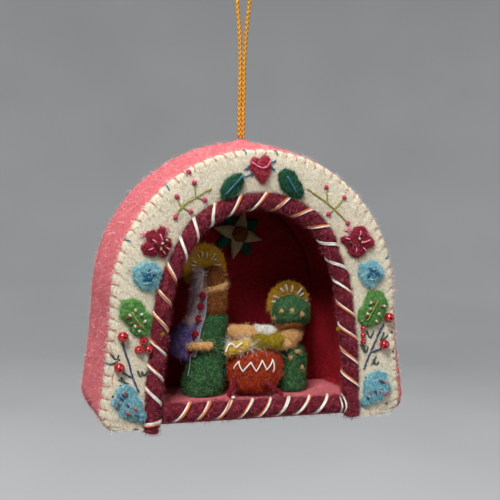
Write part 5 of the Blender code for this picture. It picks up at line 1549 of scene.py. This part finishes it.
def make_joseph():
    felted(
        "joseph_robe_felt", "robe_felt", "joseph_robe", ((0.4, 4.5), (0.22, 1.5), (0.1, 0.7)),
        ROBE_FORM, JOSEPH_LOW, JOSEPH_SHOULDER, robe_middle, 44,
    )
    felted(
        "joseph_beard_wool", "brown_wool", "joseph_beard", ((0.35, 2.2), (0.18, 1.0)), BEARD_FORM,
        JOSEPH_SHOULDER + GAP * 0.2, JOSEPH_CHIN + 0.5, joseph_middle, 44, 0.5,
        lambda x, y, up: up * tilt(x, y),
    )
    felted(
        "joseph_face_felt", "skin_felt", "joseph_face", ((0.22, 1.3), (0.1, 0.6)), FACE_FORM,
        JOSEPH_CHIN - 0.2, JOSEPH_BROW + 0.1, joseph_middle, 32, 0.3, lambda x, y, _: tilt(x, y),
    )
    felted(
        "joseph_hair_wool", "brown_wool", "joseph_hair", ((0.35, 2.0), (0.18, 0.9)), HAIR_FORM,
        JOSEPH_BROW - 0.2, JOSEPH_CROWN, joseph_middle, 44, 0.5, lambda x, y, up: (1 - up) * tilt(x, y),
    )
    top_x, _ = joseph_middle(JOSEPH_CROWN)
    halo("joseph", (top_x - 1.6, JOSEPH_CROWN - 0.8), JOSEPH[1] + SNUG, 0.22, 0.42, 0.66, 1)

    cloak_top = JOSEPH_LOW + 0.86 * ROBE_HEIGHT
    top = JOSEPH_BROW + 0.8 * 6.0
    heights = [top, JOSEPH_CHIN, JOSEPH_SHOULDER, (JOSEPH_SHOULDER + cloak_top) / 2, cloak_top + GAP]
    radii = [SNUG + 2.6 * share for share in (0, 0, 0.3, 0.75, 1)]
    turns = [(edge - 66, edge) for edge in VEIL_EDGES]
    wrapped(
        "joseph_veil_felt", "veil_felt", "joseph_veil", ((0.4, 2.2), (0.2, 0.9)), heights, radii, turns,
        1.7, 22,
    )
    heights = [JOSEPH_CHIN, JOSEPH_SHOULDER] + [JOSEPH_LOW + share * ROBE_HEIGHT for share in TRIM_SHARES]
    radii = [SNUG + 0.2, SNUG + 0.2] + [robe_radius(share) + GAP + 0.2 for share in TRIM_SHARES]
    turns = [(edge, edge + 20) for edge in TRIM_EDGES]
    wrapped(
        "joseph_trim_felt", "trim_felt", "joseph_trim", ((0.2, 1.3), (0.1, 0.6)), heights, radii, turns,
        1.0, 10,
    )
    knots, tail, arm = Shape(), Shape(), Shape()
    for z, inward in TRIM_KNOTS:
        radius, angle = (float(np.interp(z, heights[::-1], row[::-1])) for row in (radii, TRIM_EDGES))
        wool_ball(knots, around(joseph_middle, z, radius + 1.3, angle + inward), 1.25)
    piece("joseph_trim_knots", knots, "knot_felt", None, ((0.2, 0.9),))
    edge = [around(joseph_middle, z, r + 0.75, a + 19) for z, r, a in zip(heights, radii, TRIM_EDGES)]
    tail.tube(smooth_line(edge, 0.4), 0.14, 6)
    route = [
        around(joseph_middle, heights[-1] + 0.5, radii[-1] + 0.7, TRIM_EDGES[-1] + 4),
        around(robe_middle, 17.0, robe_radius(0.38) + 0.35, -68),
        around(robe_middle, 13.6, robe_radius(0.25) + 0.3, -63),
    ]
    tail.tube(smooth_line(route, 0.4), 0.15, 6)
    piece("joseph_trim_tail", tail, "pale_thread")

    heights = [JOSEPH_LOW + share * ROBE_HEIGHT for share, _ in CLOAK]
    close = [robe_radius(share) + GAP + 0.3 for share, _ in CLOAK]
    radii = [r + flare for r, (_, flare) in zip(close, CLOAK)]
    wrapped(
        "joseph_cloak_felt", "cloak_felt", "joseph_cloak", ((0.45, 2.8), (0.2, 1.0)), heights, radii,
        CLOAK_TURNS, 2.4, 26, close,
    )
    height = JOSEPH_LOW + ARM_HEIGHT * ROBE_HEIGHT
    on_robe = robe_radius(ARM_HEIGHT) + GAP + 1.15
    route = []
    for angle, over in ((-66, 1), (-44, 1), (-24, 0.2), (-8, 0)):
        z = height + 0.1 + 0.011 * (angle + 66)
        route.append(around(joseph_middle, z, on_robe + over * (1.1 + GAP), angle))
    line = smooth_line(route, 0.3)
    thick = np.interp(np.linspace(0, 1, len(line)), [0, 0.08, 0.5, 0.93, 1], [0.9, 1.45, 1.3, 1.3, 0.9])
    arm.tube(line, thick, 16)
    piece("joseph_arm_felt", arm, "skin_felt", "joseph_arm", ((0.25, 1.4), (0.12, 0.6)))


MARY = (17.2, 16.0)
MARY_BOW = (-1.2, -1.6)
MARY_LOW = FLOOR_HEIGHT + GAP
MARY_NECK = MARY_LOW + 15.4
MARY_BROW = MARY_NECK + GAP + 5.6
MARY_BRIM = MARY_BROW + GAP + 1.7
HOOD_TOP = MARY_BRIM + GAP + 9.0
MARY_ROBE_FORM = ((0, 0.1), (0, 4.0), (0.03, 5.0), (0.12, 5.5), (0.5, 5.4), (0.85, 5.0), (1, 4.0), (1, 0.1))
MARY_FACE_FORM = ((0, 0.1), (0, 1.6), (0.1, 2.9), (0.35, 3.9), (0.62, 4.3), (0.85, 4.0), (1, 3.0), (1, 0.1))
MARY_HAIR_FORM = ((0, 0.1), (0, 3.4), (0.2, 4.4), (0.6, 4.9), (1, 4.4), (1, 0.1))
HOOD_FORM = (
    (0, 0.1), (0, 3.8), (0.05, 5.0), (0.18, 6.0), (0.42, 6.4), (0.66, 5.9), (0.86, 4.2), (0.97, 2.0),
    (1, 0.05),
)
# Felted dots: degrees from the front, and height
HOOD_DOTS = ((-50, 34.6), (-17, 35.1), (14, 33.9), (-80, 31.9))
ROBE_DOTS = ((-18, 18.7), (8, 20.7), (-48, 13.0), (30, 15.2))


def straight(_):
    return MARY


def bowed(_):
    return (MARY[0] + MARY_BOW[0], MARY[1] + MARY_BOW[1])


def make_mary():
    felted(
        "mary_robe_felt", "robe_felt", "mary_robe", ((0.35, 4.0), (0.2, 1.5), (0.1, 0.7)),
        MARY_ROBE_FORM, MARY_LOW, MARY_NECK, straight, 40,
    )
    face, dots = Shape(), Shape()
    turned(face, MARY_FACE_FORM, MARY_NECK - 0.5, MARY_BROW + 0.9, bowed, 32, 0.4)
    # A wisp of the same wool lies over the robe, toward the crib
    wisp = smooth_line([(14.6, 11.4, 23.6), (12.6, 10.6, 22.6), (10.8, 10.2, 22.4)], 0.3)
    face.tube(wisp, np.linspace(1.7, 0.5, len(wisp)), 12)
    piece("mary_face_felt", face, "skin_felt", "mary_face", ((0.25, 1.8), (0.12, 0.7)))
    felted(
        "mary_hair_wool", "brown_wool", "mary_hair", ((0.25, 1.4), (0.1, 0.6)), MARY_HAIR_FORM,
        MARY_BROW + 0.9, MARY_BRIM + 0.5, bowed, 44, 0.35,
        lambda x, y, _: -0.085 * x * x * np.clip(1 - y / 3, 0, 1),
    )
    felted(
        "mary_hood_felt", "robe_felt", "mary_hood", ((0.3, 3.2), (0.2, 1.3), (0.1, 0.7)), HOOD_FORM,
        MARY_BRIM + GAP * 0.5, HOOD_TOP, straight, 48, 0.5, lambda x, y, up: -0.030 * x * x * (1 - up),
    )
    for angle, z in HOOD_DOTS:
        radius = radius_at(HOOD_FORM, (z - MARY_BRIM) / (HOOD_TOP - MARY_BRIM))
        wool_ball(dots, around(straight, z, radius - 0.1, angle), 0.8)
    for angle, z in ROBE_DOTS:
        wool_ball(dots, around(straight, z, 5.3, angle), 0.8)
    piece("mary_dots", dots, "skin_felt", None, ((0.15, 0.8),))
    halo("mary", (MARY[0] + 2.2, MARY_BRIM + 5.7), MARY[1] + 6.7 + GAP, 0.36, 0.55, 0.83, 2)


# Crib and child

CRIB = (2.4, 10.2)
CRIB_LOW = FLOOR_HEIGHT + GAP + 1.2
CRIB_HEIGHT = 14.6
CRIB_HIGH = CRIB_LOW + CRIB_HEIGHT
# The barrel's depth as a share of its length
CRIB_SQUASH = 5.6 / 9.8
BED_TOP = CRIB_HIGH + GAP + 2.0
CHILD_Z = BED_TOP + GAP + 2.5
CHILD_LENGTH = 9.4
CHILD_X = CRIB[0] + 0.2 - CHILD_LENGTH
WRAP_X = CHILD_X + CHILD_LENGTH + GAP
# Depth of the blanket and the child's halo, in front of the crib's middle
HUNG_Y = CRIB[1] - 2.5 - GAP - 1.1
BARREL_FORM = (
    (0, 0.1), (0, 3.8), (0.05, 6.0), (0.13, 7.6), (0.25, 8.7), (0.45, 9.5), (0.64, 9.7), (0.8, 9.1),
    (0.94, 7.4),
    (1, 5.6), (1, 0.1),
)
FLEECE_FORM = ((0, 0.1), (0, 6.6), (0.3, 8.4), (0.7, 8.6), (1, 7.0), (1, 0.1))
# The white thread on the barrel (degrees from the front, height) and on the child's halo (x, z)
ZIGZAG = (
    (-57, 16.6), (-46, 19.1), (-35, 15.8), (-19, 18.9), (-8, 15.8), (4, 19.5), (12.5, 16.1),
    (29, 19.5), (30, 15.2),
)
HALO_WAVE = ((-9.6, 22.7), (-8.9, 24.6), (-8.2, 25.3), (-7.3, 25.2), (-6.2, 24.1), (-5.2, 24.8), (-4.1, 25.5))
CRIB_LEGS = {
    "left": ((-5.5, 7.1, 13.9), (-6.8, 6.0, 10.6), (-8.0, 5.4, 7.6)),
    "right": ((4.2, 4.6, 12.0), (7.3, 4.6, 9.7), (10.7, 5.4, 7.5)),
}


def crib_middle(_):
    return CRIB


def on_barrel(places, height):
    """Points off the crib's barrel, at (degrees from the front, height) places."""
    points = []
    for (angle, z), off in zip(places, height):
        radius = radius_at(BARREL_FORM, (z - CRIB_LOW) / CRIB_HEIGHT) + off
        points.append(around(crib_middle, z, radius, angle, CRIB_SQUASH))
    return np.array(points)


def bolster(
    name, look, node, lump, start, length, radius, squash=1.0, blunt=(), sides=34, waist=0.0, rise=0.0,
):
    """A lying rounded body along +X; blunt holds the ends, 0 or 1, that are, and rise is its slope."""
    a = circle(sides)
    rings = []
    for x in np.linspace(0, length, max(14, int(length / 0.45))):
        r = radius
        for end, from_end in enumerate((x, length - x)):
            ease, full, least = (0.35, 0.55, 0.45) if end in blunt else (0.95, 1.0, 0.0)
            share = 1 - from_end / (radius * ease)
            if share > 0:
                r = min(r, radius * full * math.sqrt(max(0.003, 1 - share * share)) + least * radius)
        r *= 1 - waist * math.exp(-((x - length / 2) / (length * 0.12)) ** 2)
        z = start[2] + r * np.sin(a) + rise * (x - length / 2)
        rings.append(np.stack([np.full(sides, start[0] + x), start[1] + r * squash * np.cos(a), z], axis=1))
    shape = Shape()
    shape.loft(rings)
    piece(name, shape, look, node, lump)


def make_crib():
    felted(
        "crib_barrel_felt", "crib_felt", "crib_barrel", ((0.4, 4.5), (0.2, 1.5), (0.1, 0.7)),
        BARREL_FORM, CRIB_LOW, CRIB_HIGH, crib_middle, 56, 0.5, None, CRIB_SQUASH,
    )
    for side, route in CRIB_LEGS.items():
        leg = Shape()
        leg.tube(smooth_line(route, 0.4), 0.8, 12, ends=(0.5, 0.6))
        piece(f"crib_leg_{side}_yarn", leg, "leg_wool", f"crib_leg_{side}", ((0.22, 1.0),))
    felted(
        "crib_fleece_wool", "fleece", "crib_fleece", ((0.6, 1.8), (0.3, 0.8)),
        FLEECE_FORM, CRIB_HIGH + 0.1, BED_TOP, crib_middle, 44, 0.4, None, 3.6 / 9.8,
    )
    bolster(
        "child_felt", "skin_felt", "child", ((0.25, 2.2), (0.12, 0.8)),
        (CHILD_X - 0.6, CRIB[1] - 0.3, CHILD_Z + 0.4), 9.6, 2.6, blunt=(1,), rise=-0.10,
    )
    bolster(
        "swaddling_wool", "fleece", "swaddling", ((0.35, 2.0), (0.2, 0.8)),
        (WRAP_X - 0.9, CRIB[1], CHILD_Z + 0.2), 8.0, 2.3, blunt=(0,), rise=-0.12,
    )
    bolster(
        "blanket_felt_piece", "blanket_felt", "blanket", ((0.4, 2.2), (0.18, 0.8)),
        (WRAP_X - 2.8, HUNG_Y, CRIB_HIGH + 3.0), 11.0, 2.5, 1.3 / 2.5, waist=0.34,
    )
    bolster(
        "child_halo_felt_piece", "child_halo_felt", "child_halo", ((0.22, 1.6), (0.1, 0.7)),
        (CHILD_X - 2.6, HUNG_Y, CRIB_HIGH + 1.2), 8.8, 1.8, 1.2 / 1.8, sides=30, rise=0.22,
    )
    white = Shape()
    for ends in zip(ZIGZAG[:-1], ZIGZAG[1:]):
        stitch(white, ends, 0.24, 0.4, 0.3, on_barrel)
    white.tube(smooth_line([(x, HUNG_Y - 1.5, z) for x, z in HALO_WAVE], 0.25), 0.3, 7)
    # The knot by the left leg
    a = np.linspace(0, 2 * math.pi * 2.5, 30)
    knot = np.stack([-6.7 + 0.45 * np.cos(a), 4.9 + 0.45 * np.sin(a), 7.3 + 0.02 * a], axis=1)
    white.tube(knot, 0.24, 6)
    piece("crib_zigzag", white, "white_thread")


# Loose fibres

def left_end(places, _):
    """Keeps most of the fleece's loose fibres at the crib's left end."""
    return np.where(places[:, 0] < CRIB[0] - 2.0, 3.0, 0.3)


SHELL = "shell_strip back_felt underside_felt"
ROLLS = "arch_roll_felt sill_roll_felt"
JOSEPH_WOOL = "joseph_beard_wool joseph_hair_wool"
# Name, pieces they stand on, count, lengths, look, width, number of the draw, how far they rise
# from the felt, and where they are kept
FIBRE_ROWS = (
    ("shell_fibres", SHELL, 24000, (0.8, 2.6), "pink_fibre", 0.08, 1, 0.6, off_cord),
    ("shell_deep_fibres", SHELL, 12000, (0.6, 2.0), "shell_deep_fibre", 0.08, 6, 0.35, off_cord),
    ("shell_wisps", "shell_strip", 360, (2.4, 5.4), "pink_fibre", 0.05, 2, 0.65, off_cord),
    # The niche's fibres carry the lining's painted shade: pink fibres darkened to crimson
    ("niche_fibres", "niche_felt niche_wall_felt", 8000, (0.7, 2.2), "lining_fibre", 0.07, 3, 0.5),
    ("floor_fibres", "niche_floor_felt", 3500, (0.6, 1.8), "pink_fibre", 0.07, 9, 0.5),
    ("face_fibres", "face_felt", 20000, (0.6, 2.0), "cream_fibre", 0.06, 4, 0.5),
    ("face_heather", "face_felt", 9000, (0.4, 1.5), "heather_fibre", 0.075, 7, 0.3),
    ("roll_fibres", ROLLS, 20000, (0.6, 2.2), "maroon_fibre", 0.09, 5, 0.6),
    # Pale pink fibres on the rolls: painted highlight for fibres catching the light
    ("roll_light_fibres", ROLLS, 7000, (0.5, 1.8), "maroon_light_fibre", 0.06, 9, 0.6),
    ("roll_deep_fibres", ROLLS, 12000, (0.6, 2.0), "maroon_deep_fibre", 0.11, 8, 0.4),
    ("left_bloom_mix", "left_corner_bloom_felt", 260, (0.4, 1.1), "deep_blue_fibre", 0.085, 51, 0.5),
    ("right_bloom_mix", "right_corner_bloom_felt", 260, (0.4, 1.1), "deep_blue_fibre", 0.085, 53, 0.5),
    ("blossom_centre_fibres", "blossom_centres", 420, (0.4, 1.3), "deep_blue_fibre", 0.085, 62, 0.6),
    ("blossom_pale_fibres", "blossom_centres", 60, (0.6, 1.4), "blue_fibre", 0.085, 63, 0.6),
    ("poinsettia_fibres", "poinsettia_centre", 260, (0.5, 1.4), "brown_fibre", 0.05, 61, 0.8),
    ("joseph_trim_fibres", "joseph_trim_felt", 220, (0.3, 1.0), "veil_fibre", 0.07, 36, 0.5),
    ("joseph_knot_fibres", "joseph_trim_knots", 260, (0.4, 1.0), "heart_fibre", 0.08, 37, 0.8),
    ("joseph_robe_fibres", "joseph_robe_felt", 5200, (0.6, 2.0), "green_fibre", 0.085, 31, 0.55),
    ("joseph_wool_fibres", JOSEPH_WOOL, 3000, (0.6, 1.9), "brown_fibre", 0.085, 32, 0.55),
    ("joseph_veil_fibres", "joseph_veil_felt", 2200, (0.7, 2.4), "veil_fibre", 0.08, 35, 0.9),
    ("joseph_cloak_fibres", "joseph_cloak_felt", 3200, (0.6, 2.0), "purple_fibre", 0.085, 38, 0.7),
    ("joseph_skin_fibres", "joseph_arm_felt joseph_face_felt", 1100, (0.6, 1.9), "skin_fibre", 0.08, 39, 0.6),
    ("mary_robe_fibres", "mary_robe_felt mary_hood_felt", 5600, (0.6, 1.9), "green_fibre", 0.085, 33, 0.5),
    ("mary_wool_fibres", "mary_hair_wool", 900, (0.6, 1.8), "brown_fibre", 0.085, 34, 0.6),
    ("mary_skin_fibres", "mary_face_felt mary_dots", 1500, (0.5, 1.7), "skin_fibre", 0.08, 40, 0.6),
    ("crib_fibres", "crib_barrel_felt", 3000, (0.5, 1.7), "red_fibre", 0.08, 41, 0.5),
    ("crib_dark_fibres", "crib_barrel_felt", 1600, (0.5, 1.6), "maroon_deep_fibre", 0.08, 48, 0.35),
    ("crib_leg_left_fibres", "crib_leg_left_yarn", 160, (0.4, 1.1), "heart_fibre", 0.07, 45, 0.6),
    ("crib_leg_right_fibres", "crib_leg_right_yarn", 160, (0.4, 1.1), "heart_fibre", 0.07, 45, 0.6),
    ("fleece_fibres", "crib_fleece_wool", 1500, (1.0, 4.4), "white_fibre", 0.08, 42, 1.0, left_end),
    ("child_fibres", "child_felt", 700, (0.5, 1.6), "skin_fibre", 0.08, 43, 0.5),
    ("swaddling_fibres", "swaddling_wool", 900, (0.5, 1.6), "white_fibre", 0.07, 44, 0.45),
    ("blanket_fibres", "blanket_felt_piece", 1500, (0.5, 1.7), "olive_fibre", 0.085, 46, 0.7),
    ("child_halo_fibres", "child_halo_felt_piece", 700, (0.5, 1.6), "yellow_fibre", 0.08, 47, 0.6),
)


def make_fibres():
    for row in FIBRE_ROWS:
        fuzz(*row)


# Stage and light

FLOOR_Z = -0.30


def make_stage():
    """A pale floor that bends up into a wall all round."""
    profile = [(0.0, 0.0), (1.0, 0.0)]
    for a in math.pi / 2 * np.arange(1, 13) / 12:
        profile.append((1.0 + 0.8 * math.sin(a), 0.8 * (1 - math.cos(a))))
    profile.append((1.8, 3.0))
    angles = circle(72)
    points, faces = [], []
    for r, z in profile:
        points += [(r * math.cos(a), r * math.sin(a), FLOOR_Z + z) for a in angles]
    for a in range(0, len(points) - 72, 72):
        faces += [(a + k, a + (k + 1) % 72, a + 72 + (k + 1) % 72, a + 72 + k) for k in range(72)]
    mesh = bpy.data.meshes.new("floor")
    mesh.from_pydata(points, [], faces)
    mesh.update()
    mesh.shade_smooth()
    floor = bpy.data.objects.new("floor", mesh)
    bpy.context.collection.objects.link(floor)
    look = Look("studio_floor")
    tone = look.ramp(look.noise(0.004, 2.0), (0.3, srgb((172, 173, 175))), (0.7, srgb((180, 181, 183))))
    mesh.materials.append(look.done(Base_Color=tone, Roughness=0.9))
    floor.visible_diffuse = False
    floor.visible_shadow = False


def area_light(name, place, size, power):
    data = bpy.data.lights.new(name, "AREA")
    data.shape = "SQUARE"
    data.size = size
    data.energy = power
    lamp = bpy.data.objects.new(name, data)
    bpy.context.collection.objects.link(lamp)
    lamp.location = place
    toward = Vector((0.0, 0.0, -0.09)) - Vector(place)
    lamp.rotation_euler = toward.to_track_quat("-Z", "Y").to_euler()


def make_light():
    world = bpy.data.worlds.new("studio")
    bpy.context.scene.world = world
    world.use_nodes = True
    sky = world.node_tree.nodes["Background"]
    sky.inputs["Color"].default_value = (1.0, 1.0, 1.0, 1.0)
    sky.inputs["Strength"].default_value = 0.22
    area_light("key", (-0.50, -0.75, 0.85), 0.40, 19.0)
    area_light("fill", (0.8, -0.9, 0.25), 0.8, 3.6)
    area_light("top", (-0.05, 0.1, 1.0), 0.5, 9.5)


make_camera()
make_cord()
make_body()
make_face()
make_edge_stitches()
make_rolls()
make_cut_outs()
make_beads()
make_embroidery()
make_star()
make_joseph()
make_mary()
make_crib()
make_fibres()
make_stage()
make_light()
bpy.context.scene.view_settings.view_transform = "Standard"
